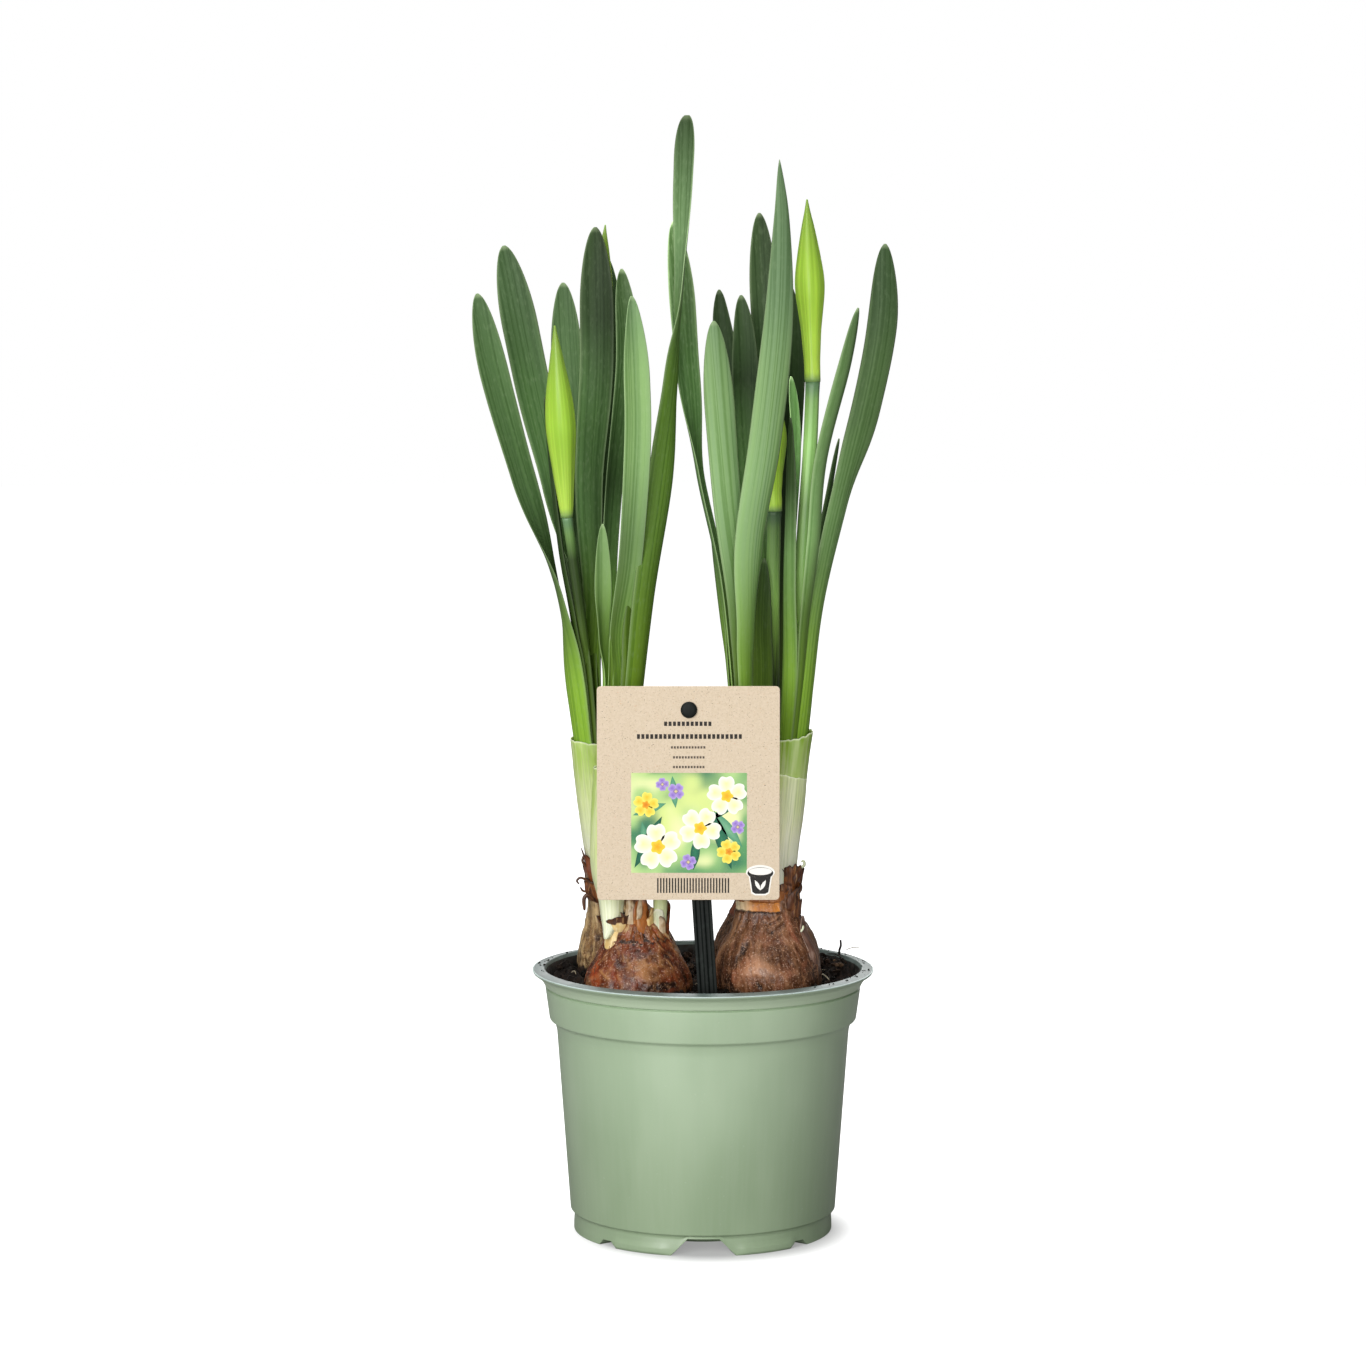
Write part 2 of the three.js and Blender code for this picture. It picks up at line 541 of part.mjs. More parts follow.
function stalkSolid({ shoot, base, path, radius }, grow = 0) {
  const line = smoothLine([leafFoot(shoot, base), base, ...path]);
  return solidOf(new THREE.ExtrudeGeometry(tubeSection(radius + grow), { steps: 9, extrudePath: line }));
}

function budSolid({ path, tip, bud, radius }, grow = 0) {
  const top = new THREE.Vector3(...path.at(-1));
  const end = new THREE.Vector3(...tip);
  const axis = end.clone().sub(top).normalize();
  const start = top.clone().addScaledVector(axis, GAP + 0.1 - grow);
  const profile = [new THREE.Vector2(0, 0)];
  const length = start.distanceTo(end) + grow;
  BUD_PLACES.forEach((place, index) => {
    const share = index === 0 ? radius * 0.95 / bud : BUD_RADII[index];
    profile.push(new THREE.Vector2(bud * share + grow, place * length));
  });
  profile.push(new THREE.Vector2(0, length + 0.2));
  const spindle = new THREE.LatheGeometry(profile, 10);
  spindle.applyQuaternion(new THREE.Quaternion().setFromUnitVectors(new THREE.Vector3(0, 1, 0), axis));
  spindle.translate(start.x, start.y, start.z);
  return solidOf(spindle);
}

// Card and stake

function cardSolid() {
  const { width, height, thickness, corner, x, y, bottom } = CARD;
  const half = width / 2;
  const outline = new THREE.Shape();
  outline.moveTo(-half + corner, 0);
  outline.lineTo(half - corner, 0);
  outline.absarc(half - corner, corner, corner, -Math.PI / 2, 0);
  outline.absarc(half - corner, height - corner, corner, 0, Math.PI / 2);
  outline.absarc(-half + corner, height - corner, corner, Math.PI / 2, Math.PI);
  outline.absarc(-half + corner, corner, corner, Math.PI, Math.PI * 1.5);
  const hole = new THREE.Path();
  hole.absarc(STAKE.x - x, STUD.z - bottom, STUD.shank + 2 * GAP, 0, TURN);
  outline.holes.push(hole);
  const sheet = { depth: thickness, bevelEnabled: false, curveSegments: 3 };
  const card = new THREE.ExtrudeGeometry(outline, sheet);
  card.rotateX(Math.PI / 2);
  card.translate(x, y + thickness / 2, bottom);
  return solidOf(card);
}

// The stake's section has a rib down each edge and one down the middle.
function stakeSection(grow) {
  const half = STAKE.width / 2 + grow;
  const deep = STAKE.thickness / 2 + grow;
  const web = grow > 0 ? deep : deep * 0.35;
  return new THREE.Shape([
    [-half, -deep], [-half * 0.72, -deep], [-half * 0.6, -web], [-half * 0.26, -web], [-half * 0.14, -deep],
    [half * 0.14, -deep], [half * 0.26, -web], [half * 0.6, -web], [half * 0.72, -deep], [half, -deep],
    [half, deep], [-half, deep],
  ].map(([u, v]) => new THREE.Vector2(u, v)));
}

function stakeSolid(grow = 0) {
  const { top, bottom, point, x, y, lean } = STAKE;
  const length = top - bottom;
  const far = 20;
  const bar = new THREE.ExtrudeGeometry(stakeSection(grow), { depth: length, bevelEnabled: false });
  bar.translate(0, 0, -length);
  let stake = solidOf(bar);
  for (const mirror of [-1, 1]) {
    const wedge = new THREE.Shape([
      [STAKE.pointHalf + grow, -length - 2 * grow], [STAKE.width / 2 + grow, -length + point],
      [far, -length + point], [far, -length - far], [STAKE.pointHalf + grow, -length - far],
    ].map(([u, v]) => new THREE.Vector2(mirror * u, v)));
    const cutter = new THREE.ExtrudeGeometry(wedge, { depth: far, bevelEnabled: false });
    cutter.rotateX(Math.PI / 2);
    cutter.translate(0, far / 2, 0);
    stake = stake.subtract(solidOf(cutter));
  }
  if (grow === 0) stake = stake.add(studSolid());
  const geometry = geometryOf(stake);
  geometry.rotateY(-lean / 360 * TURN);
  geometry.translate(x, y, top);
  return solidOf(geometry);
}

// A shank that passes through the card's hole, with a round head in front of the card.
function studSolid() {
  const front = CARD.y - CARD.thickness / 2 - GAP - STAKE.y;
  const shank = new THREE.CylinderGeometry(STUD.shank, STUD.shank, 0.4 - front, 12);
  shank.translate(0, (0.4 + front) / 2, STUD.z - STAKE.top);
  const head = new THREE.CylinderGeometry(STUD.head, STUD.head, STUD.headThickness, 20);
  head.translate(0, front - STUD.headThickness / 2 + 0.05, STUD.z - STAKE.top);
  return solidOf(shank).add(solidOf(head));
}

// Where two pieces would meet, the later one is cut back so that a small gap stays between them.
const TOUCH_VOLUME = 1e-3;

function boxesMeet(a, b) {
  const first = a.boundingBox();
  const second = b.boundingBox();
  const meets = (axis) => first.min[axis] < second.max[axis] && second.min[axis] < first.max[axis];
  return [0, 1, 2].every(meets);
}

function largestPart(solid) {
  return solid.decompose().reduce((best, part) => (part.volume() > best.volume() ? part : best));
}

const settled = [];

function settle(name, kind, solid, grown, roughness) {
  let shape = solid;
  for (const other of settled) {
    if (!other.grown || !boxesMeet(shape, other.grown)) continue;
    if (shape.intersect(other.grown).volume() < TOUCH_VOLUME) continue;
    shape = largestPart(shape.subtract(other.grown));
  }
  settled.push({ grown });
  const mesh = new THREE.Mesh(geometryOf(shape), material(kind, roughness));
  mesh.name = name;
  group.add(mesh);
}

settle('pot', 'pot', potSolid(), null, 0.35);
settle('label_stake', 'stake', stakeSolid(), stakeSolid(GAP), 0.5);
settle('label_card', 'card', cardSolid(), null, 0.9);
for (const [name, rows] of Object.entries(BULBS)) {
  settle(name, 'bulb', bulbSolid(rows), bulbSolid(rows, GAP), 0.5);
}
for (const stalk of STALKS) {
  settle(`flower_stalk_${stalk.number}`, 'stalk', stalkSolid(stalk), stalkSolid(stalk, GAP), 0.5);
}
for (const stalk of STALKS) {
  settle(`flower_bud_${stalk.number}`, 'bud', budSolid(stalk), budSolid(stalk, GAP), 0.45);
}
for (const spec of LEAVES) settle(spec.name, 'leaf', leafSolid(spec), leafSolid(spec, GAP), 0.5);
for (const [name, spec] of Object.entries(SHEATHS)) settle(name, 'sheath', sheathSolid(spec), null, 0.5);
const soilAngles = Array.from({ length: POT_SIDES }, (_, step) => step * 360 / POT_SIDES);
settle('soil', 'soil', solidOf(skinRoundAxis(soilAngles.map(soilProfile), soilAngles)), null, 1);

export default group;
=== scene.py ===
"""Looks of a potted daffodil in bud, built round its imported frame.

Sizes are millimetres in the part's own frame, with +Z up and the card facing -Y. Every mesh is made from a
Skin, and make_piece turns its millimetres to metres. Heights, angles and shares that shape a surface are
fitted to the real object.
"""

import logging
import math
from dataclasses import dataclass, field
from enum import Enum
from typing import Sequence

import bpy
import numpy as np
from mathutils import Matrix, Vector


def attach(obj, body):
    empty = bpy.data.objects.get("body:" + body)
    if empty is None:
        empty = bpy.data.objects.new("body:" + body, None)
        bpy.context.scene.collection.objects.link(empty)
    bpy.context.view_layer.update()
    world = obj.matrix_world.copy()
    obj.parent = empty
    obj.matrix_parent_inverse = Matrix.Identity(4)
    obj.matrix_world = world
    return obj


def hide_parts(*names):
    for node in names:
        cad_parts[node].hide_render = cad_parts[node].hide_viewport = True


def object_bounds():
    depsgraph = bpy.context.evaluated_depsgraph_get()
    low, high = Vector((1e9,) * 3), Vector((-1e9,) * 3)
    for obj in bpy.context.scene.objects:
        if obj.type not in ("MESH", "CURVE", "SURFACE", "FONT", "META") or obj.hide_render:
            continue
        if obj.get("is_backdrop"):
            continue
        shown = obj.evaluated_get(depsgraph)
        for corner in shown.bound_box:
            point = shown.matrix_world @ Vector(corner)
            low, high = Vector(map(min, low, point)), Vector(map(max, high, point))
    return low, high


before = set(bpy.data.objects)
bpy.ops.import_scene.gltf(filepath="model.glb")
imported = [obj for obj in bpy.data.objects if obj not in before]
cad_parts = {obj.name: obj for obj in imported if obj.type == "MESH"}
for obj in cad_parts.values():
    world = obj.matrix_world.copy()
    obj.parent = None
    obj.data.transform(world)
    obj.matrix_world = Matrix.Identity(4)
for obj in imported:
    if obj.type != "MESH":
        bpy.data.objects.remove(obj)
CAD_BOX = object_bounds()

LOG = logging.getLogger("potted_daffodil")
MM = 0.001
TURN = 2 * math.pi
SEED = 20

Array = np.ndarray
Point = tuple[float, float, float]
Rows = tuple[tuple[float, ...], ...]
Socket = bpy.types.NodeSocket
Material = bpy.types.Material
Given = dict[str | int, object]


# Colours and shader nodes

def linear(code: str) -> tuple[float, float, float, float]:
    """Turns an sRGB hex colour to a linear one.

    Args:
        code: six hex digits after a hash.

    Returns:
        Linear red, green, blue and an alpha of 1.
    """
    shares = [int(code[start:start + 2], 16) / 255 for start in (1, 3, 5)]
    red, green, blue = (s / 12.92 if s <= 0.04045 else ((s + 0.055) / 1.055) ** 2.4 for s in shares)
    return red, green, blue, 1.0


def add_node(tree: bpy.types.NodeTree, kind: str, given: Given, take: str | int | None = 0) -> Socket | None:
    """Adds one node with its settings and links.

    Args:
        tree: the node tree that gets it.
        kind: the node's type name without its "ShaderNode" start.
        given: its own properties, and its sockets by name or number, with what each gets: a number, a hex
            colour or another node's output. "stops" holds a colour ramp's places and hex colours.
        take: the name or number of the output to return.

    Returns:
        That output.
    """
    node = tree.nodes.new("ShaderNode" + kind)
    for key, value in given.items():
        if isinstance(value, str) and value.startswith("#"):
            value = linear(value)
        if key == "stops":
            ramp = node.color_ramp.elements
            for _ in value[2:]:
                ramp.new(0.5)
            for element, (element.position, code) in zip(ramp, value):
                element.color = linear(code)
        elif isinstance(key, str) and key not in node.inputs:
            setattr(node, key, value)
        elif isinstance(value, Socket):
            tree.links.new(value, node.inputs[key])
        else:
            node.inputs[key].default_value = value
    return None if take is None else node.outputs[take]


@dataclass(frozen=True)
class Coat:
    """A colour laid over others where a pattern's value runs from low to high.

    Its share runs from start to end over that range, and blend is Blender's name for the way of mixing.
    """

    pattern: Socket
    colour: str | Socket
    low: float = 0.0
    high: float = 1.0
    start: float = 0.0
    end: float = 1.0
    blend: str = "MIX"


class Recipe:
    """A material's node tree while it is being put together."""

    def __init__(self, name: str, *reads: str) -> None:
        """Starts a material.

        Args:
            name: its name.
            reads: the values that it reads at its mesh's points.
        """
        self.material = bpy.data.materials.new(name)
        self.material.use_nodes = True
        self.tree = self.material.node_tree
        self.tree.nodes.clear()
        self.values = [self.add("Attribute", {"attribute_name": read},
                                "Vector" if read in ("strap", "ink") else "Fac") for read in reads]

    def add(self, kind: str, given: Given, take: str | int | None = 0) -> Socket:
        """Adds a node to this material, as add_node does."""
        return add_node(self.tree, kind, given, take)

    def millimetres(self) -> Socket:
        """The point's own place in the part's frame, in millimetres."""
        where = self.add("TexCoord", {}, "Object")
        return self.add("VectorMath", {"operation": "SCALE", 0: where, "Scale": 1 / MM})

    def grains(self, where: Socket, *sizes: tuple[Point | float, float]) -> list[Socket]:
        """Makes patterns of soft random patches, each of a real size.

        Args:
            where: the place to read, in millimetres.
            sizes: the patches' size in millimetres, for all axes or for each, and the number of finer layers.

        Returns:
            For each size, a value that wanders round one half.
        """
        patterns = []
        for size, detail in sizes:
            size = size if isinstance(size, tuple) else (size,) * 3
            scaled = self.add("VectorMath", {"operation": "DIVIDE", 0: where, 1: size})
            patterns.append(self.add("TexNoise", {"Scale": 1.0, "Detail": detail, "Vector": scaled}, "Fac"))
        return patterns

    def paint(self, base: str | Socket, *coats: Coat) -> Socket:
        """Lays coats of colour over a base.

        Args:
            base: the colour underneath.
            coats: what goes over it, in order.

        Returns:
            The finished colour.
        """
        for coat in coats:
            share = self.add("MapRange", {"interpolation_type": "SMOOTHSTEP", 0: coat.pattern, 1: coat.low,
                                          2: coat.high, 3: coat.start, 4: coat.end})
            base = self.add("Mix", {"data_type": "RGBA", "blend_type": coat.blend, 0: share, 6: base,
                                    7: coat.colour}, 2)
        return base

    def finish(self, surface: Given, colour: Socket, rough: float | tuple, *bumps: tuple) -> Material:
        """Closes the material with its surface shader.

        Args:
            surface: what the shader's other sockets get.
            colour: its finished colour.
            rough: its roughness, or a pattern with the range that it is read over and what it gives there.
            bumps: height patterns, each with its real height in millimetres and its strength.

        Returns:
            The finished material.
        """
        if isinstance(rough, tuple):
            rough = self.add("MapRange", dict(enumerate(rough)))
        surface = {**surface, "Base Color": colour, "Roughness": rough}
        for height, depth, strength in bumps:
            before = {"Normal": surface["Normal"]} if "Normal" in surface else {}
            surface["Normal"] = self.add("Bump", {"Strength": strength, "Distance": depth * MM,
                                                  "Height": height, **before})
        shader = self.add("BsdfPrincipled", surface)
        self.add("OutputMaterial", {"Surface": shader}, None)
        return self.material


# Shapes

@dataclass
class Skin:
    """Points, faces and values per point of one closed mesh, before it becomes a piece."""

    points: Array
    faces: list[tuple[int, ...]]
    values: dict[str, Array] = field(default_factory=dict)
    slots: Array | None = None

    def with_slot(self, slot: int) -> "Skin":
        """The same skin with all its faces on one material slot."""
        self.slots = np.full(len(self.faces), slot)
        return self


def stack(*parts: Array | float) -> Array:
    """Sets coordinates side by side in a new last axis, each spread to the size of the largest."""
    return np.stack(np.broadcast_arrays(*parts), axis=-1)


def turns(count: int) -> Array:
    """Even angles round a full turn, in radians."""
    return np.linspace(0, TURN, count, endpoint=False)


def unit(ways: Array) -> Array:
    """The same directions, each of length one."""
    return ways / np.linalg.norm(ways, axis=-1, keepdims=True)


def round_corner(corner: Array, blend: float, most: float, shares: Sequence[float]) -> list[Array]:
    """Rounds one corner of an outline.

    Args:
        corner: the corner between the points before and after it.
        blend: how far back from it the bend may start.
        most: the largest share of either side that the bend may take.
        shares: where its points lie along the bend.

    Returns:
        The bend's points.
    """
    before, here, after = corner
    into, out = before - here, after - here
    reach_in, reach_out = np.linalg.norm(into), np.linalg.norm(out)
    cut = min(blend, most * reach_in, most * reach_out)
    start, end = here + into / reach_in * cut, here + out / reach_out * cut
    return [(1 - share) ** 2 * start + 2 * share * (1 - share) * here + share ** 2 * end for share in shares]


def join_skins(skins: Sequence[Skin]) -> Skin:
    """Joins skins into one, each with its own closed surface.

    Args:
        skins: the skins, in order.

    Returns:
        One skin. A value that a skin lacks is zero there.
    """
    shapes = {name: skin.values[name].shape[1:] for skin in skins for name in skin.values}
    values = {name: np.concatenate([skin.values.get(name, np.zeros((len(skin.points), *shape)))
                                    for skin in skins]) for name, shape in shapes.items()}
    faces: list[tuple[int, ...]] = []
    start = 0
    for skin in skins:
        faces.extend(tuple(corner + start for corner in face) for face in skin.faces)
        start += len(skin.points)
    slots = [skin.slots if skin.slots is not None else np.zeros(len(skin.faces), int) for skin in skins]
    return Skin(np.concatenate([skin.points for skin in skins]), faces, values, np.concatenate(slots))


def loft(rings: Array, values: dict[str, Array] | None = None) -> Skin:
    """Joins rings of points into one closed skin with a fan at each end.

    Args:
        rings: ring by ring, the points round it, counter-clockwise seen from the last ring.
        values: numbers or places for each point, in the same layout.

    Returns:
        The skin.
    """
    count, around = rings.shape[:2]
    step = np.arange(around)
    after = (step + 1) % around
    faces: list[tuple[int, ...]] = []
    for low in range(0, (count - 1) * around, around):
        quads = stack(low + step, low + after, low + around + after, low + around + step)
        faces.extend(map(tuple, quads.tolist()))
    first, last, top = count * around, count * around + 1, (count - 1) * around
    faces.extend((first, int(b), int(a)) for a, b in zip(step, after))
    faces.extend((last, int(top + a), int(top + b)) for a, b in zip(step, after))
    flat = {name: np.concatenate([given.reshape(count * around, *given.shape[2:]), [given[0].mean(0)],
                                  [given[-1].mean(0)]])
            for name, given in {"points": rings, **(values or {})}.items()}
    return Skin(flat.pop("points"), faces, flat)


def sheet(grid: Array, thickness: float, values: dict[str, Array]) -> Skin:
    """Makes a thin closed shell from a grid of points on its front.

    Args:
        grid: rows of points, with the front on the side where rows x columns turn anticlockwise.
        thickness: how thick it is.
        values: numbers or places for each grid point.

    Returns:
        The skin.
    """
    rows, columns = grid.shape[:2]
    normals = np.cross(np.gradient(grid, axis=1), np.gradient(grid, axis=0))
    normals /= np.linalg.norm(normals, axis=2, keepdims=True) + 1e-9
    points = np.concatenate([grid.reshape(-1, 3), (grid - normals * thickness).reshape(-1, 3)])
    number = np.arange(rows * columns).reshape(rows, columns)
    a, b, c, d = number[:-1, :-1], number[:-1, 1:], number[1:, 1:], number[1:, :-1]
    front = stack(a, b, c, d).reshape(-1, 4)
    edge = np.concatenate([number[0], number[1:, -1], number[-1, -2::-1], number[-2:0:-1, 0]])
    following = np.roll(edge, -1)
    rim = stack(following, edge, edge + rows * columns, following + rows * columns)
    faces = list(map(tuple, np.concatenate([front, front[:, ::-1] + rows * columns, rim]).tolist()))
    flat = {name: np.concatenate([given.reshape(rows * columns, *given.shape[2:])] * 2)
            for name, given in values.items()}
    return Skin(points, faces, flat)


def make_piece(name: str, skin: Skin, finishes: Sequence[Material],
               replaces: Sequence[str] = (), smooth: bool = True) -> bpy.types.Object:
    """Turns a skin into a piece of the object that rides on its one body.

    Args:
        name: the piece's name.
        skin: its mesh, in millimetres.
        finishes: its materials, in the order of the skin's slots.
        replaces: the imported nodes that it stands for.
        smooth: whether its faces are shaded as one smooth surface.

    Returns:
        The piece.
    """
    mesh = bpy.data.meshes.new(name)
    mesh.from_pydata((skin.points * MM).tolist(), [], skin.faces)
    for key, given in skin.values.items():
        kind, label = ("FLOAT", "value") if given.ndim == 1 else ("FLOAT_VECTOR", "vector")
        mesh.attributes.new(key, kind, "POINT").data.foreach_set(label, given.astype(np.float32).ravel())
    for finish in finishes:
        mesh.materials.append(finish)
    if skin.slots is not None:
        mesh.polygons.foreach_set("material_index", skin.slots.astype(np.int32))
    mesh.polygons.foreach_set("use_smooth", np.full(len(mesh.polygons), smooth))
    mesh.update()
    piece = bpy.data.objects.new(name, mesh)
    bpy.context.scene.collection.objects.link(piece)
    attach(piece, "root")
    if replaces:
        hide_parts(*replaces)
    LOG.info("%s: %d faces", name, len(mesh.polygons))
    return piece


def smoothstep(share: Array | float) -> Array:
    """An ease from 0 to 1 over the same range, clamped."""
    held = np.clip(share, 0, 1)
    return held * held * (3 - 2 * held)


def lumps(places: Array, size: float, seed: int, layers: int = 2) -> Array:
    """Soft random heights at some places.

    Args:
        places: points in any number of dimensions up to 3, in the last axis.
        size: the width of the largest lumps, in the same unit.
        seed: picks another pattern.
        layers: how many finer and lower layers are added.

    Returns:
        Heights between about -1 and 1.
    """
    shape, axes = places.shape[:-1], places.shape[-1]
    total, weight = np.zeros(shape), 0.0
    for layer in range(layers):
        scaled = np.asarray(places, float) / size * 2 ** layer + 37.7 * layer
        cell = np.floor(scaled).astype(np.int64)
        blend = smoothstep(scaled - cell)
        for corner in range(2 ** axes):
            bits = np.array([(corner >> axis) & 1 for axis in range(axes)])
            keys = cell + bits
            # Each corner of the grid gets its own number, mixed from its place with large primes.
            mixed = np.full(shape, seed * 7919 + layer * 104729, np.int64)
            for axis in range(axes):
                mixed = (mixed ^ (keys[..., axis] * (73856093 + 19349663 * axis))) & 0x7FFFFFFF
                mixed = (mixed * 1103515245 + 12345) & 0x7FFFFFFF
            height = ((mixed >> 8) & 0xFFFF) / 32767.5 - 1
            total += height * np.prod(np.where(bits, blend, 1 - blend), axis=-1) * 0.5 ** layer
        weight += 0.5 ** layer
    return total / weight


class SmoothLine:
    """A smooth curve through given points, read by the share of its length."""

    STEPS = 40
    NUDGE = 1e-3

    def __init__(self, points: Sequence[Point]) -> None:
        """Fits the curve and measures its length.

        Args:
            points: the points that it goes through.
        """
        given = np.array(points, float)
        self.points = np.array([2 * given[0] - given[1], *given, 2 * given[-1] - given[-2]])
        self.spans = len(given) - 1
        self.fine = np.linspace(0, self.spans, self.spans * self.STEPS + 1)
        steps = np.linalg.norm(np.diff(self._at(self.fine), axis=0), axis=1)
        self.walked = np.concatenate([[0], np.cumsum(steps)])
        self.length = float(self.walked[-1])

    def _at(self, place: Array) -> Array:
        """Finds the curve's points.

        Args:
            place: where, counted in spans.

        Returns:
            The points.
        """
        span = np.clip(np.floor(place).astype(int), 0, self.spans - 1)
        t = (place - span)[:, None]
        before, start, end, after = (self.points[span + step] for step in range(4))
        out, into = (end - before) / 2, (after - start) / 2
        turn = (2 * start - 2 * end + out + into) * t ** 3
        return turn + (-3 * start + 3 * end - 2 * out - into) * t ** 2 + out * t + start

    def read(self, along: Array) -> tuple[Array, Array, Array]:
        """Reads the curve at some lengths along it.

        Args:
            along: lengths from its start, in millimetres.

        Returns:
            The points, the directions there, and the places counted in spans.
        """
        place = np.interp(along, self.walked, self.fine)
        ahead = self._at(np.minimum(place + self.NUDGE, self.spans))
        behind = self._at(np.maximum(place - self.NUDGE, 0))
        return self._at(place), unit(ahead - behind), place


def strap_axes(way: Array, degrees: Array) -> tuple[Array, Array]:
    """Finds a strap's axes at each station.

    Args:
        way: the strap's direction.
        degrees: the turn of its wide axis about the upright.

    Returns:
        The wide axis and the hollow side's direction.
    """
    angle = np.radians(degrees)
    wide = stack(np.cos(angle), np.sin(angle), 0.0)
    wide = unit(wide - way * np.sum(wide * way, axis=1, keepdims=True))
    return wide, np.cross(wide, way)


# The studio

@dataclass
class Studio:
    """The pale floor, the soft lights and the camera.

    glow is the two distances from the shadow's middle over which the floor starts to glow, and how much it
    glows at each. A softbox is its name, place, size and watts.
    """

    lens: float = 102.8
    sensor: float = 36.0
    eye: Point = (-7.0, -1356.7, 322.0)
    aim: Point = (0.0, 0.0, 170.0)
    pitch_down: float = 5.43
    floor_radius: float = 6000.0
    paper: str = "#AFAFAF"
    ambient: float = 0.12
    shadow: Point = (3.0, -5.0, 0.0)
    glow: tuple[float, ...] = (39.0, 57.0, 0.3, 1.0)
    softboxes: tuple[tuple, ...] = (
        ("key_softbox", (-720, -1480, 650), (900, 1300), 20.5),
        ("front_softbox", (20, -1900, 450), (900, 900), 14.0),
        ("top_softbox", (-100, 100, 1600), (1500, 1300), 26.0),
        ("back_softbox", (200, 1750, 900), (1200, 1000), 9.0),
    )

    def build(self) -> None:
        """Makes the camera first, and then the floor and the lights."""
        self._camera()
        self._floor()
        self._sky()
        for softbox in self.softboxes:
            self._softbox(*softbox)

    def _show(self, name: str, data: bpy.types.ID) -> bpy.types.Object:
        """Puts a camera, a light or a mesh into the scene.

        Args:
            name: the object's name.
            data: what it shows.

        Returns:
            The object.
        """
        thing = bpy.data.objects.new(name, data)
        bpy.context.scene.collection.objects.link(thing)
        return thing

    def _camera(self) -> None:
        """Sets the camera that shows the card's side."""
        data = bpy.data.cameras.new("front_camera")
        data.lens, data.sensor_width = self.lens, self.sensor
        data.clip_end = 2 * self.floor_radius * MM
        camera = self._show("front_camera", data)
        camera.location = Vector(self.eye) * MM
        camera.rotation_euler = (math.radians(90 - self.pitch_down), 0, 0)
        bpy.context.scene.camera = camera

    def _floor(self) -> None:
        """Lays a round floor of matt white paper, which glows further out so that it has no horizon, and
        glows less round the pot: a painted soft shadow round the shadow's middle.
        """
        paper = Recipe("matt_white_paper")
        where = paper.millimetres()
        away = paper.add("VectorMath", {"operation": "DISTANCE", 0: where, 1: self.shadow}, "Value")
        # Less glow near the shadow's middle paints a soft shadow round the pot.
        glow = paper.add("MapRange", {"interpolation_type": "SMOOTHSTEP",
                                      **dict(enumerate((away, *self.glow)))})
        seen = paper.add("LightPath", {}, "Is Camera Ray")
        white = paper.add("BsdfDiffuse", {"Color": self.paper})
        lit = paper.add("Emission", {"Color": "#FFFFFF", "Strength": glow})
        shown = paper.add("AddShader", {0: white, 1: lit})
        # Off camera the paper is grey, so that little light comes back up from it, as over a dark table.
        grey = paper.add("BsdfDiffuse", {"Color": "#8C8C8C"})
        both = paper.add("MixShader", {0: seen, 1: grey, 2: shown})
        paper.add("OutputMaterial", {"Surface": both}, None)
        mesh = bpy.data.meshes.new("studio_floor")
        radius = self.floor_radius * MM
        corners = [(radius * math.cos(turn), radius * math.sin(turn), 0) for turn in turns(64)]
        mesh.from_pydata(corners, [], [tuple(range(len(corners)))])
        mesh.materials.append(paper.material)
        floor = self._show("studio_floor", mesh)
        floor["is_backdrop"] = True

    def _sky(self) -> None:
        """Surrounds the scene with a white backdrop that lights the object only softly."""
        world = bpy.data.worlds.new("studio_surround")
        world.use_nodes = True
        tree = world.node_tree
        tree.nodes.clear()
        seen = add_node(tree, "LightPath", {}, "Is Camera Ray")
        glow = add_node(tree, "Background", {"Color": "#F4F6F5", "Strength": self.ambient})
        white = add_node(tree, "Background", {"Color": "#FFFFFF", "Strength": 1.0})
        both = add_node(tree, "MixShader", {0: seen, 1: glow, 2: white})
        add_node(tree, "OutputWorld", {"Surface": both}, None)
        bpy.context.scene.world = world
        bpy.context.scene.view_settings.view_transform = "Standard"

    def _softbox(self, name: str, place: Point, size: tuple[float, float], watts: float) -> None:
        """Hangs one softbox that looks at the plant's middle.

        Args:
            name: the light's name.
            place: its middle.
            size: its width and height.
            watts: its power.
        """
        data = bpy.data.lights.new(name, "AREA")
        data.shape = "RECTANGLE"
        data.size, data.size_y = size[0] * MM, size[1] * MM
        data.energy = watts
        lamp = self._show(name, data)
        lamp.location = Vector(place) * MM
        lamp.rotation_euler = (Vector(self.aim) * MM - lamp.location).to_track_quat("-Z", "Y").to_euler()


# The pot

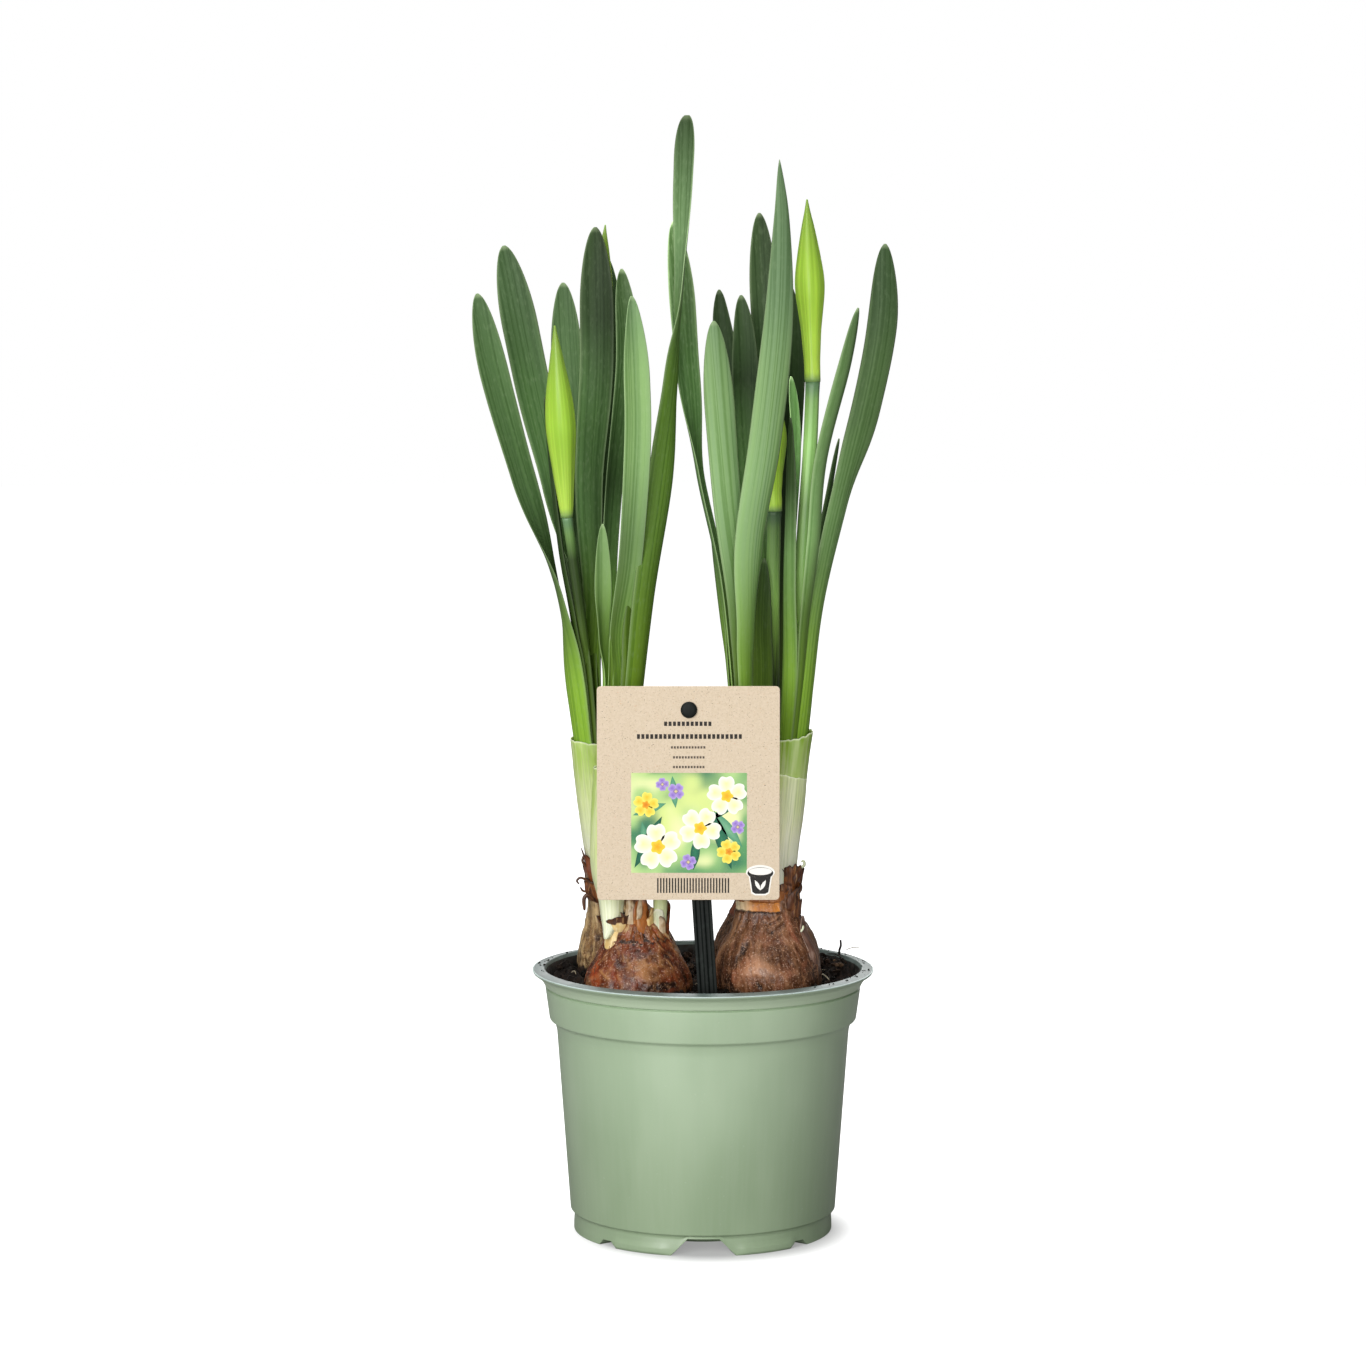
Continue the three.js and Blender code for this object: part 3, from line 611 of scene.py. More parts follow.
@dataclass(frozen=True)
class MouldedPolypropylene:
    """Polypropylene sheet, vacuum formed: a satin skin with faint draw lines and a soft orange peel."""

    outside: str = "#ABBFA0"
    shade: str = "#A1B696"
    inside: str = "#171815"
    rim: str = "#5A6662"

    def outer(self) -> Material:
        """The sage green outside, with painted shade towards the bottom, painted light on the cove under the
        lip and a painted shade band just under the lip's edge. Draw lines and small scuffs break its sheen.
        """
        recipe = Recipe("vacuum_formed_polypropylene_sage")
        where = recipe.millimetres()
        cloud, drawn, speck, peel = recipe.grains(
            where, ((26, 26, 60), 2), ((1.6, 1.6, 90), 2), (1.1, 2), (0.7, 1))
        low = recipe.add("SeparateXYZ", {0: where}, "Z")
        # Painted shade darkens the wall towards the bottom. Above 87 mm the cove under the lip is painted
        # paler, as painted light where it faces down into shade, and just under the lip's edge a band of
        # painted shade darkens it.
        colour = recipe.paint(
            self.outside, Coat(cloud, self.shade, 0.35, 0.65),
            Coat(low, "#D6DAD0", 15, 70, 0.8, 0, "MULTIPLY"), Coat(low, "#B6C8AA", 86.8, 87.2, 0, 0.9),
            Coat(low, "#8A9C80", 90, 91.8, 0, 0.75), Coat(drawn, "#BEC8B6", 0.3, 0.8, 0, 0.06),
            Coat(speck, "#D9DFD2", 0.71, 0.76, 0, 0.1))
        return recipe.finish({"IOR": 1.49, "Specular IOR Level": 0.75}, colour,
                             (cloud, 0.35, 0.65, 0.36, 0.44), (peel, 0.02, 0.3), (drawn, 0.03, 0.15))

    def rim_top(self) -> Material:
        """The lip's top: smooth and darker, with peat dust, and a painted highlight along its outer edge."""
        recipe = Recipe("polypropylene_lip_painted_edge_highlight")
        where = recipe.millimetres()
        patches, grit = recipe.grains(where, ((9, 9, 3), 2), (0.8, 2))
        level = recipe.add("VectorMath", {"operation": "MULTIPLY", 0: where, 1: (1, 1, 0)})
        reach = recipe.add("VectorMath", {"operation": "LENGTH", 0: level}, "Value")
        # Past 59.3 mm from the middle the lip is painted pale: a painted highlight along its outer edge.
        colour = recipe.paint(self.rim, Coat(patches, "#6C7976", 0.42, 0.66),
                              Coat(reach, "#B4C4BF", 59.3, 59.7), Coat(grit, "#38332C", 0.66, 0.72, 0, 0.7))
        return recipe.finish({"IOR": 1.49}, colour, (patches, 0.4, 0.66, 0.34, 0.44), (grit, 0.03, 0.3))

    def inner(self) -> Material:
        """The black inside, dusty with peat where the soil touched it."""
        recipe = Recipe("black_polypropylene_inside")
        [dirt] = recipe.grains(recipe.millimetres(), (3, 4))
        colour = recipe.paint(self.inside, Coat(dirt, "#241A13", 0.45, 0.6))
        return recipe.finish({"IOR": 1.49}, colour, (dirt, 0.45, 0.6, 0.45, 0.9), (dirt, 0.25, 0.8))


@dataclass(frozen=True)
class Notch:
    """A notch in the pot's foot: where it stands, its half angles at its top and bottom, and its height."""

    at: float
    top: float
    bottom: float
    height: float


@dataclass
class Pot:
    """The pot, turned from its profile with rounded corners and a notched foot.

    The walls' rows are radius, height and how far the corner is rounded. panel is the middle, half width and
    rise of the raised panels on the foot, in degrees from a big notch and millimetres.
    """

    foot_radius: float = 45.5
    foot_edge: float = 1.2
    ring_radius: float = 38.0
    pad_radius: float = 24.0
    fillet: float = 2.0
    drain_height: float = 3.0
    drain_radius: float = 3.2
    drains: int = 6
    floor: float = 1.2
    row_step: float = 0.2
    sides: int = 240
    rounding: int = 5
    big: Point = (6.9, 14.3, 6.0)
    small: Point = (2.5, 5.5, 2.2)
    wall: Rows = (
        (45.5, 0.8, 0.3), (45.5, 2.4, 0.3), (45.4, 4.2, 0.3), (45.2, 6.1, 0.7), (45.6, 7, 0.5),
        (46.7, 7.5, 0.35), (51.35, 71.3, 2), (52.2, 74.2, 1.2), (53.9, 75.2, 0.45), (55.4, 86.2, 0.1),
        (54.6, 86.6, 0.1), (55.6, 87.1, 0.2), (56.3, 88.5, 0.6), (57.6, 90.2, 0.6), (59.7, 91.6, 0.3),
        (60, 92.4, 0.3), (55.8, 93.2, 0.7),
    )
    lip_rows: int = 15
    panel: Point = (30.0, 15.0, 0.55)
    inner_wall: Rows = (
        (54.7, 90.5, 1.5), (53.9, 84.4, 0.8), (52.8, 75.6, 0.8), (50.3, 71.2, 0.8), (45.7, 8.5, 0.5),
    )

    def notches(self) -> list[Notch]:
        """The two big and four small notches."""
        return [Notch(at, *self.big) for at in (-90, 90)] + \
               [Notch(at, *self.small) for at in (-137, -43, 43, 137)]

    def lift(self, degrees: float) -> float:
        """Finds how far the notches lift the foot.

        Args:
            degrees: the angle round the pot.

        Returns:
            The lift.
        """
        raised = 0.0
        for notch in self.notches():
            away = abs((degrees - notch.at + 540) % 360 - 180)
            slope = (notch.bottom - away) / (notch.bottom - notch.top)
            raised = max(raised, notch.height * min(1.0, max(0.0, slope)))
        return raised

    def bulge(self, degrees: float, z: float) -> float:
        """Finds how far the foot's four raised panels stand out.

        Args:
            degrees: the angle round the pot.
            z: the height.

        Returns:
            How much is added to the radius there.
        """
        from_notch = min(abs((degrees - at + 540) % 360 - 180) for at in (-90, 90))
        middle, half, rise = self.panel
        across = float(smoothstep((half - abs(from_notch - middle)) / 3))
        return rise * across * float(smoothstep((5.0 - z) / 2.5))

    def profile(self, degrees: float) -> Array:
        """The whole section at an angle round the pot, with its corners rounded.

        Args:
            degrees: the angle.

        Returns:
            Radius, height and material slot, point by point from the middle of the underside.
        """
        raised = self.lift(degrees)
        hollow = self.drain_height
        under = [(self.foot_radius, raised), (self.ring_radius, raised),
                 (self.ring_radius - self.fillet, max(hollow, 0.6 * raised)),
                 (self.pad_radius + self.fillet, hollow), (self.pad_radius, 0.0)]
        corners = [(radius, z, 0.3, 0) for radius, z in under[::-1]]
        corners += [(radius + self.bulge(degrees, z), max(z, raised + self.row_step * (row + 1)), blend,
                     int(row >= self.lip_rows)) for row, (radius, z, blend) in enumerate(self.wall)]
        corners += [(*row, 2) for row in self.inner_wall]
        corners += [(radius - self.foot_edge * (radius == self.foot_radius), z + self.floor, 0.3, 2)
                    for radius, z in under]
        path = np.array([(0.0, corners[0][1]), *(corner[:2] for corner in corners), (0.0, corners[-1][1])])
        shares = np.linspace(0, 1, self.rounding)
        return np.array([(*place, slot) for number, (_, _, blend, slot) in enumerate(corners)
                         for place in round_corner(path[number:number + 3], blend, 0.45, shares)])

    def angles(self) -> Array:
        """Even angles round the pot, with the notches' corners in place of those beside them."""
        corners = [(n.at + offset) % 360 for n in self.notches()
                   for offset in (-n.bottom, -n.top, n.top, n.bottom)]
        even = np.arange(self.sides) * 360 / self.sides
        near = 0.6 * 360 / self.sides
        clear = [a for a in even if all(abs((a - c + 180) % 360 - 180) > near for c in corners)]
        return np.array(sorted(corners + clear))

    def build(self) -> Skin:
        """The pot's closed skin, before its drain holes are cut."""
        angles = self.angles()
        radius, z, slot = np.array([self.profile(degrees) for degrees in angles]).transpose(2, 1, 0)
        turn = np.radians(angles)
        skin = loft(stack(radius * np.cos(turn), radius * np.sin(turn), z))
        skin.slots = np.repeat([*slot[:-1, 0], 0, 2], len(angles)).astype(int)
        return skin

    def dress(self, finish: MouldedPolypropylene) -> None:
        """Makes the pot's piece and drills its drain holes.

        Args:
            finish: the plastic that it is formed from.
        """
        piece = make_piece("pot_shell", self.build(), [finish.outer(), finish.rim_top(), finish.inner()],
                           ["pot"])
        middle = (self.pad_radius + self.ring_radius) / 2
        around = turns(24)
        z = np.array([[-2.0], [3 * self.drain_height]])
        drills = [loft(stack(middle * math.cos(turn) + self.drain_radius * np.cos(around),
                             middle * math.sin(turn) + self.drain_radius * np.sin(around), z))
                  for turn in turns(self.drains)]
        drill = make_piece("pot_drill", join_skins(drills), [finish.inner()])
        cut = piece.modifiers.new("drain_holes", "BOOLEAN")
        cut.operation = "DIFFERENCE"
        cut.object = drill
        bpy.context.view_layer.update()
        drilled = bpy.data.meshes.new_from_object(piece.evaluated_get(bpy.context.evaluated_depsgraph_get()))
        piece.modifiers.clear()
        piece.data = drilled
        bpy.data.objects.remove(drill)


# Leaves

class Tip(Enum):
    """How a leaf ends: the length of its taper and the taper's power."""

    ROUND = (30.0, 0.5)
    BLUNT = (16.0, 0.35)
    POINTED = (85.0, 0.72)


@dataclass(frozen=True)
class Shoot:
    """A bundle of leaves: its centre at the foot and above the sheath, and how it is squeezed there."""

    foot: Point
    mouth: Point
    squeeze: float

    def leaf_foot(self, start: Sequence[float]) -> Point:
        """Finds where a leaf or stalk starts.

        Args:
            start: the point just above the sheath where it comes out.

        Returns:
            Its foot inside the sheath.
        """
        rise = (start[2] - self.foot[2]) / (self.mouth[2] - self.foot[2])
        x, y = (f + (s - (f + (m - f) * rise)) * self.squeeze
                for f, s, m in zip(self.foot[:2], start[:2], self.mouth[:2]))
        return x, y, self.foot[2]


SHOOTS = {
    "backLeft": Shoot((-36, 18.5, 131), (-42, 15, 190), 0.74),
    "frontLeft": Shoot((-32.8, -21.3, 129), (-27.3, -18.5, 190), 0.76),
    "side": Shoot((-15, -21.5, 112), (-14.6, -21, 140), 0.9),
    "frontMiddle": Shoot((16.4, -20.9, 125), (12.9, -18.5, 190), 0.85),
    "frontRight": Shoot((26.5, -20.5, 133), (32.2, -17.5, 190), 0.8),
    "backRight": Shoot((21, 20, 121), (22.4, 18, 190), 0.85),
}


@dataclass(frozen=True)
class LeafFinish:
    """The colours of one kind of leaf: its blade, the streaks in it, its paler back, its tip and its foot."""

    name: str
    blade: str
    streak: str
    back: str
    tip: str
    foot: str = "#86AE38"
    rim: str = "#A9BF90"

    def material(self) -> Material:
        """Fresh waxy leaf: parallel veins under a thin bloom, which softens its sheen."""
        recipe = Recipe("fresh_waxy_leaf_" + self.name, "strap", "face", "fresh", "high", "rim", "tint")
        strap, face, fresh, high, rim, tint = recipe.values
        # Real veins lie about 0.5 mm apart. They are drawn 0.8 mm apart, to show at this size.
        broad, veins, bloom, patch = recipe.grains(
            strap, ((2.6, 140, 9), 1), ((0.8, 170, 9), 1), ((0.9, 3, 9), 3), ((5, 22, 9), 3))
        colour = recipe.paint(
            self.back, Coat(face, self.blade), Coat(broad, self.streak, 0.36, 0.64, 0, 0.32),
            Coat(high, self.tip), Coat(fresh, self.foot),
            Coat(veins, "#9AB386", 0.36, 0.56, 0.5, 0, "MULTIPLY"),
            Coat(bloom, "#A9C194", 0.5, 0.75, 0, 0.1), Coat(rim, self.rim, 0, 1, 0, 0.5))
        # The tint scales the colour: painted shade where other leaves shade this one, and painted light where
        # a real shadow falls on it.
        shaded = recipe.add("VectorMath", {"operation": "SCALE", 0: colour, "Scale": tint})
        return recipe.finish({"IOR": 1.45, "Specular IOR Level": 0.13}, shaded, (patch, 0.3, 0.7, 0.42, 0.55),
                             (veins, 0.12, 0.3), (broad, 0.25, 0.25), (bloom, 0.05, 0.3))


class LeafTone(Enum):
    """The kinds of leaf on the plant."""

    DARK = LeafFinish("dark", "#4B683C", "#5A7A46", "#5D7B4C", "#455B37")
    MID = LeafFinish("mid", "#587848", "#688A53", "#6E8F58", "#506A44")
    PALE = LeafFinish("pale", "#7FA068", "#8DB266", "#88A974", "#76946A")
    BRIGHT = LeafFinish("bright", "#5E8434", "#6B9030", "#66883A", "#566E49", "#7BA02C")


def tint_and_shade_at(tints: Sequence[float], z: Array, low: float, high: float) -> Array:
    """How light a part of the plant is painted at some heights, as painted shade and light, from values at
    even steps between two heights.
    """
    return np.interp(z, np.linspace(low, high, len(tints)), tints)


@dataclass(frozen=True)
class Leaf:
    """One leaf. Each point of its path is x, y, z and the turn of its wide axis, in degrees.

    cup is how far its margins stand proud of its middle, and fresh is the height range over which its
    yellow-green foot turns to the blade's colour. Its tint is how light it is, at even steps up from its
    foot: painted shade where other leaves shade it, and painted light where a real shadow falls on it.
    margins is how much lighter or darker its two edges are than that: painted light on one side and
    painted shade on the other.
    """

    name: str
    shoot: str
    width: float
    path: Rows
    tone: LeafTone = LeafTone.MID
    tip: Tip = Tip.ROUND
    cup: float = 1.4
    thickness: float = 1.0
    fresh: tuple[float, float] = (165.0, 265.0)
    tint: tuple[float, ...] = (0.8,)
    margins: tuple[float, float] = (1.0, 1.0)

    STATIONS = 90
    ACROSS = 9
    CROWDING = 1.35
    BASE_SHARE = 0.82
    TIP_THICKNESS = 0.45
    FREE_HEIGHT = 55.0
    BLUNT_END = 0.12
    CUP_MIDDLE = 0.4
    DUSKY = (285.0, 345.0)

    def build(self, number: int) -> Skin:
        """Makes the leaf's closed skin.

        Args:
            number: the leaf's place in the list, which picks its streaks.

        Returns:
            The skin, with its strap place, face, rim and freshness at each point.
        """
        shoot = SHOOTS[self.shoot]
        foot = shoot.leaf_foot(self.path[0])
        line = SmoothLine([foot, *(p[:3] for p in self.path)])
        twists = np.array([self.path[0][3], *(p[3] for p in self.path)], float)
        along = line.length * (1 - (1 - np.linspace(0, 1, self.STATIONS)) ** self.CROWDING)
        centre, way, place = line.read(along)
        span = np.minimum(place.astype(int), len(twists) - 2)
        part = place - span
        eased = (part ** 3 * (part * (part * 6 - 15) + 10) + part) / 2
        wide, inner = strap_axes(way, twists[span] + (twists[span + 1] - twists[span]) * eased)

        taper_length, power = self.tip.value
        to_tip = np.maximum(line.length - along, self.BLUNT_END)
        taper = np.sin(math.pi / 2 * np.minimum(1, to_tip / taper_length)) ** power
        growth = self.BASE_SHARE + (1 - self.BASE_SHARE) * np.minimum(1, along / (0.5 * line.length))
        free = np.minimum(1, (centre[:, 2] - foot[2]) / self.FREE_HEIGHT)
        squeeze = shoot.squeeze + (1 - shoot.squeeze) * free
        slim = self.TIP_THICKNESS + (1 - self.TIP_THICKNESS) * taper
        half, thick, depth = (size[:, None, None] for size in (
            self.width / 2 * taper * growth * squeeze, self.thickness * slim * squeeze,
            self.cup * taper * squeeze))

        angle = np.linspace(0, math.pi, self.ACROSS + 1)
        section = np.concatenate([stack(-np.cos(angle), 0.5 * np.sin(angle) ** 0.8),
                                  stack(np.cos(angle), -0.42 * np.sin(angle) ** 0.8)[1:-1]])
        across, level = section[None, :, :1], section[None, :, 1:]
        keels = 0.12 * np.cos(across * 9.0) * (1 - across ** 2)
        lift = level * thick + keels * np.sign(level) * thick + depth * (across ** 2 - self.CUP_MIDDLE)
        rings = centre[:, None] + wide[:, None] * across * half + inner[:, None] * lift

        z, side = rings[..., 2], section[:, 0]
        faces = (section[:, 1] > -0.05).astype(float)
        tip_glow = smoothstep((along - line.length + 2.4) / 2.2)[:, None]
        start, end = self.fresh
        low, high = self.DUSKY
        return loft(rings, {
            "strap": stack((across * half)[..., 0] + 20 * faces, along[:, None], float(number * 31)),
            "face": np.broadcast_to(faces, z.shape), "fresh": 1 - smoothstep((z - start) / (end - start)),
            "rim": np.clip(smoothstep((np.abs(side) - 0.86) / 0.14) * 0.8 + tip_glow, 0, 1),
            "high": smoothstep((z - low) / (high - low)),
            # How light it is up the leaf and across it: painted shade and painted light.
            "tint": tint_and_shade_at(self.tint, z, foot[2] + 60, self.path[-1][2])
            * np.interp(side, (-1, 0, 1), (self.margins[0], 1, self.margins[1]))})


DARK, MID, PALE, BRIGHT = LeafTone.DARK, LeafTone.MID, LeafTone.PALE, LeafTone.BRIGHT
LEAVES = (
    Leaf("left_1", "backLeft", 11, ((-45.3, 11.6, 190, 135), (-50.5, 8.5, 224, 95), (-62.5, 7, 262, 40),
         (-73, 10, 300, 22), (-79, 14, 328.5, 12)), MID, tint=(1.1, 0.62, 0.8, 0.76, 0.95)),
    Leaf("left_2", "backLeft", 13, ((-43.3, 13.6, 190, 135), (-45.5, 16, 221, 105), (-52, 21, 258, 45),
         (-61, 27, 299, 15), (-70.5, 34, 345.5, 5)), MID, tint=(0.3, 0.6, 1.4, 0.86, 0.84),
         margins=(1.1, 0.85)),
    Leaf("left_3", "backLeft", 11.5, ((-40.2, 16.8, 190, -45), (-42, 22.5, 220, -30), (-45, 30, 262, -12),
         (-48, 37, 303, -5), (-49.8, 42, 332.5, 0)), MID, tint=(0.45, 0.5, 0.65, 0.78, 0.88)),
    Leaf("left_4", "backLeft", 12, ((-39.3, 17.8, 190, -45), (-38.3, 12.6, 221, -55), (-39.5, 11, 262, -35),
         (-37, 10, 305, -8), (-37.5, 9, 351.5, 0)), DARK, tint=(0.8, 0.85, 1, 1.08, 0.45, 0.62),
         margins=(1.5, 0.6)),
    Leaf("left_5", "backLeft", 9, ((-38.3, 18.8, 190, -45), (-36.5, 20.5, 240, -50), (-34, 22, 285, -35),
         (-31.8, 24, 318, -30), (-33.5, 26, 341, -25)), MID, tint=(0.6, 0.6, 0.8)),
    Leaf("left_6", "frontLeft", 9, ((-29.6, -13.8, 190, 45), (-33, -6, 223, 60), (-31.5, -1, 262, 50),
         (-26.5, 2, 305, 25), (-28.3, 3, 337, 10)), DARK, tint=(1.5, 1.7, 0.55, 1.1, 1.2)),
    Leaf("left_7", "frontLeft", 9.5, ((-28.8, -15.8, 190, 45), (-29.3, -17.5, 212, 42),
         (-25.5, -19.5, 237, 30), (-22.8, -21, 275, 15), (-23, -22.5, 300, 20), (-24.5, -24, 327.5, 35)),
         PALE, tint=(1.35, 0.9, 0.8, 1.12, 1.22, 1.22)),
    Leaf("left_8", "backLeft", 7, ((-43, 11.2, 190, 125), (-45.3, 8.6, 213, 95), (-49.5, 6.5, 238, 90),
         (-52.5, 6, 265, 85), (-55.2, 5.5, 292.5, 80)), MID, tint=(0.28, 0.28, 0.28)),
    Leaf("left_9", "frontLeft", 6.5, ((-33.8, -15.5, 190, 75), (-34.7, -18.8, 212, 55), (-34.6, -22, 232, 15),
         (-34.5, -25, 250, 5)), PALE, tint=(1.4, 0.72, 0.9, 1)),
    Leaf("left_10", "frontLeft", 10, ((-23.6, -22, 190, -134), (-20, -17.5, 225, -140),
         (-14.5, -10, 264, -150), (-10.5, -5, 300, -118), (-8, -3, 330, -75), (-6.5, -2, 365, -48),
         (-5.5, -2, 389.5, -40)), BRIGHT, Tip.BLUNT, tint=(0.68, 0.77, 0.97, 1, 2, 0.5)),
    Leaf("left_11", "frontLeft", 8, ((-25.4, -20.2, 190, -134), (-25, -16.4, 212, -125),
         (-24.4, -13.6, 231, -110)), BRIGHT, tint=(0.55, 0.5)),
    Leaf("left_12", "frontLeft", 3.4, ((-32.4, -20.4, 190, 60), (-32, -21.3, 211.5, 50)), PALE, cup=0.5,
         thickness=0.7, tint=(1,)),
    Leaf("side_1", "side", 3, ((-15.1, -21, 140, 20), (-15, -20.6, 152, 20), (-14.6, -20.2, 166, 20)), BRIGHT,
         cup=0.5, thickness=0.7, tint=(1,)),
    Leaf("side_2", "side", 2.8, ((-14.4, -22, 140, 200), (-13.8, -22.4, 150, 200), (-13, -22.6, 158, 200)),
         BRIGHT, cup=0.5, thickness=0.7, tint=(1,)),
    Leaf("right_1", "frontMiddle", 9.5, ((11.4, -17.8, 190, 64), (6, -12, 232, 80), (-1.5, -4, 267, 80),
         (-5.5, 4, 300, 30), (-7.8, 8, 330, 15), (-10.3, 10, 353.5, 10)), DARK,
         tint=(1.2, 1.2, 1.2, 1.6, 3.2)),
    Leaf("right_2", "frontMiddle", 10.5, ((13.9, -19.2, 190, -116), (12, -21, 222, -125), (8, -25, 262, -160),
         (5.2, -28, 295, -172), (3.4, -30, 319, -180)), PALE, tint=(0.4, 0.58, 0.9, 1.05, 0.94, 0.83)),
    Leaf("right_3", "backRight", 8.5, ((19.6, 20.5, 190, -20), (17.5, 23, 235, -10), (11.5, 27, 284, -5),
         (7, 32, 316, 0), (5.8, 34, 330, 0)), DARK, tint=(0.28, 0.28, 0.28, 0.28, 0.56)),
    Leaf("right_4", "backRight", 9.5, ((20.4, 18, 190, -20), (19, 17.5, 235, -10), (15.5, 18, 282, 0),
         (14.6, 20, 311, 0), (13.4, 21.5, 328, 0)), DARK, tint=(0.95, 0.95, 1.15, 1.15, 0.28, 0.75),
         margins=(1.15, 0.8)),
    Leaf("right_5", "frontMiddle", 11.5, ((15.3, -20, 190, -116), (15.2, -23, 215, -124),
         (16, -27, 244, -150), (21, -31, 278, -165), (25.3, -34, 318, -170), (26.3, -36, 352, -165),
         (25.4, -37, 373, -160)), PALE, Tip.POINTED, tint=(1, 1.1, 1.08, 0.92, 0.87, 0.77)),
    Leaf("right_6", "backRight", 10, ((23.4, 22.5, 190, -25), (24.4, 24.5, 240, -20), (23.6, 28, 290, -10),
         (21.6, 31, 330, -5), (20, 34, 357, 0)), DARK, tint=(0.62, 0.62, 0.85), margins=(1.3, 0.6)),
    Leaf("right_7", "backRight", 9, ((27.2, 18, 190, 60), (28.5, 17, 230, 50), (30.2, 17, 270, 35),
         (31.6, 18, 305, 25), (30.2, 19, 332, 15)), DARK, tint=(0.28, 0.28, 0.28, 0.28, 0.28, 0.62)),
    Leaf("right_8", "frontRight", 7.5, ((33.2, -21.4, 190, -105), (35, -22.6, 215, -112),
         (38, -25, 243, -125), (40.5, -27, 272, -125), (48.5, -30, 305, -130), (52.3, -32, 323.5, -135)), MID,
         tint=(0.56, 0.66, 1.45, 1.12, 1.05, 1)),
    Leaf("right_9", "frontRight", 10.5, ((35.8, -19.2, 190, -120), (39.5, -17.6, 222, -122),
         (47.5, -14, 258, -130), (56, -10, 288, -165), (61.8, -6, 318, -175), (62.8, -2, 345.5, -178)), MID,
         tint=(1.25, 1.35, 1.38, 0.66, 0.58, 0.66), margins=(1.1, 0.85)),
    Leaf("right_10", "frontRight", 6, ((36.8, -14.2, 190, -80), (39.5, -9, 235, -95), (44, -6, 262, -100),
         (47, -5, 278.5, -105)), DARK, tint=(0.5,)),
    Leaf("right_11", "backRight", 8, ((20.8, 13.2, 190, 155), (20.5, 11, 212, 150), (21.5, 9.5, 236, 140)),
         DARK, tint=(0.36, 0.4)),
    Leaf("right_12", "frontRight", 9, ((28.9, -20, 190, 125), (29, -20, 229, 115), (29.5, -18, 258, 110),
         (29.8, -16, 286, 105)), MID, tint=(0.8, 0.85, 0.95, 0.28, 0.28)),
    Leaf("right_13", "frontRight", 7, ((28.6, -14, 190, 80), (30.8, -11, 237, 90), (31.4, -9, 278, 60),
         (30.2, -8, 300, 40)), MID, tint=(1, 1, 1.2, 3.4, 2.7)),
    Leaf("right_14", "frontMiddle", 7, ((10, -17, 190, 64), (6.5, -9, 218, 90), (2.6, -3, 249, 90)), DARK,
         tint=(0.8,)),
)


class Foliage:
    """All the leaves of the plant."""

    def dress(self) -> None:
        """Makes each leaf's piece in its own tone."""
        finishes = {tone: tone.value.material() for tone in LeafTone}
        for number, leaf in enumerate(LEAVES):
            make_piece(f"leaf_{leaf.name}_blade", leaf.build(number), [finishes[leaf.tone]],
                       [f"leaf_{leaf.name}"])


# Stalks and buds

@dataclass(frozen=True)
class StemFinish:
    """Fresh round stem with fine ribs: yellow-green at its foot and grey-green just below the bud."""

    stem: str = "#6F9353"
    foot: str = "#86AE38"
    top: str = "#587655"

    def material(self) -> Material:
        """Long fine ribs give the stem its silky run of light."""
        recipe = Recipe("fresh_ribbed_stem", "strap", "fresh", "top", "tint")
        strap, fresh, top, tint = recipe.values
        ribs, blend = recipe.grains(strap, ((0.7, 120, 9), 1), ((2.2, 60, 9), 2))
        colour = recipe.paint(self.stem, Coat(blend, "#7C9E5B", 0.35, 0.65), Coat(fresh, self.foot),
                              Coat(ribs, "#4A6C33", 0.35, 0.6, 0.3, 0), Coat(top, self.top))
        # The tint scales the stem's colour: painted shade and painted light along its length.
        shaded = recipe.add("VectorMath", {"operation": "SCALE", 0: colour, "Scale": tint})
        return recipe.finish({"IOR": 1.45}, shaded, 0.42, (ribs, 0.12, 0.5))


@dataclass(frozen=True)
class BudFinish:
    """The closed bud's thin skin: bright yellow-green with darker lengthwise veins."""

    skin: str = "#A9CF45"
    glow: str = "#BCDB58"
    vein: str = "#84AA30"
    tip: str = "#92B157"
    base: str = "#6F8F5A"

    def material(self) -> Material:
        """A taut moist skin: smooth, a little glossy, with the folded petals' veins showing through."""
        recipe = Recipe("taut_bud_skin", "strap", "along", "tint")
        strap, along, tint = recipe.values
        veins, broad = recipe.grains(strap, ((0.9, 60, 9), 1), ((3.2, 60, 9), 1))
        colour = recipe.paint(
            self.skin, Coat(broad, "#9BC340", 0.38, 0.62), Coat(along, self.glow, 0, 0.45, 0.8, 0),
            Coat(along, self.tip, 0.6, 1, 0, 0.7), Coat(veins, self.vein, 0.4, 0.56, 0.45, 0),
            Coat(along, self.base, 0, 0.06, 0.85, 0))
        # The tint scales the bud's colour: painted light and painted shade along its length.
        shaded = recipe.add("VectorMath", {"operation": "SCALE", 0: colour, "Scale": tint})
        return recipe.finish({"IOR": 1.42, "Subsurface Weight": 0.15, "Subsurface Radius": (0.5, 1.0, 0.2),
                              "Subsurface Scale": 1.5 * MM}, shaded, 0.36, (veins, 0.12, 0.5))


class BudForm(Enum):
    """A bud's outline from its foot to its tip: shares of its length, and its radius at each."""

    SLIM = ((0, 0.1, 0.19, 0.285, 0.38, 0.47, 0.54, 0.61, 0.73, 0.845, 0.94, 1),
            (0.48, 0.52, 0.6, 0.67, 0.82, 0.955, 1, 0.93, 0.7, 0.44, 0.18, 0.05))
    FULL = ((0, 0.03, 0.114, 0.197, 0.28, 0.364, 0.447, 0.53, 0.615, 0.697, 0.78, 0.864, 0.93, 1),
            (0.39, 0.455, 0.566, 0.68, 0.785, 0.9, 1, 0.99, 0.906, 0.75, 0.555, 0.376, 0.215, 0.05))


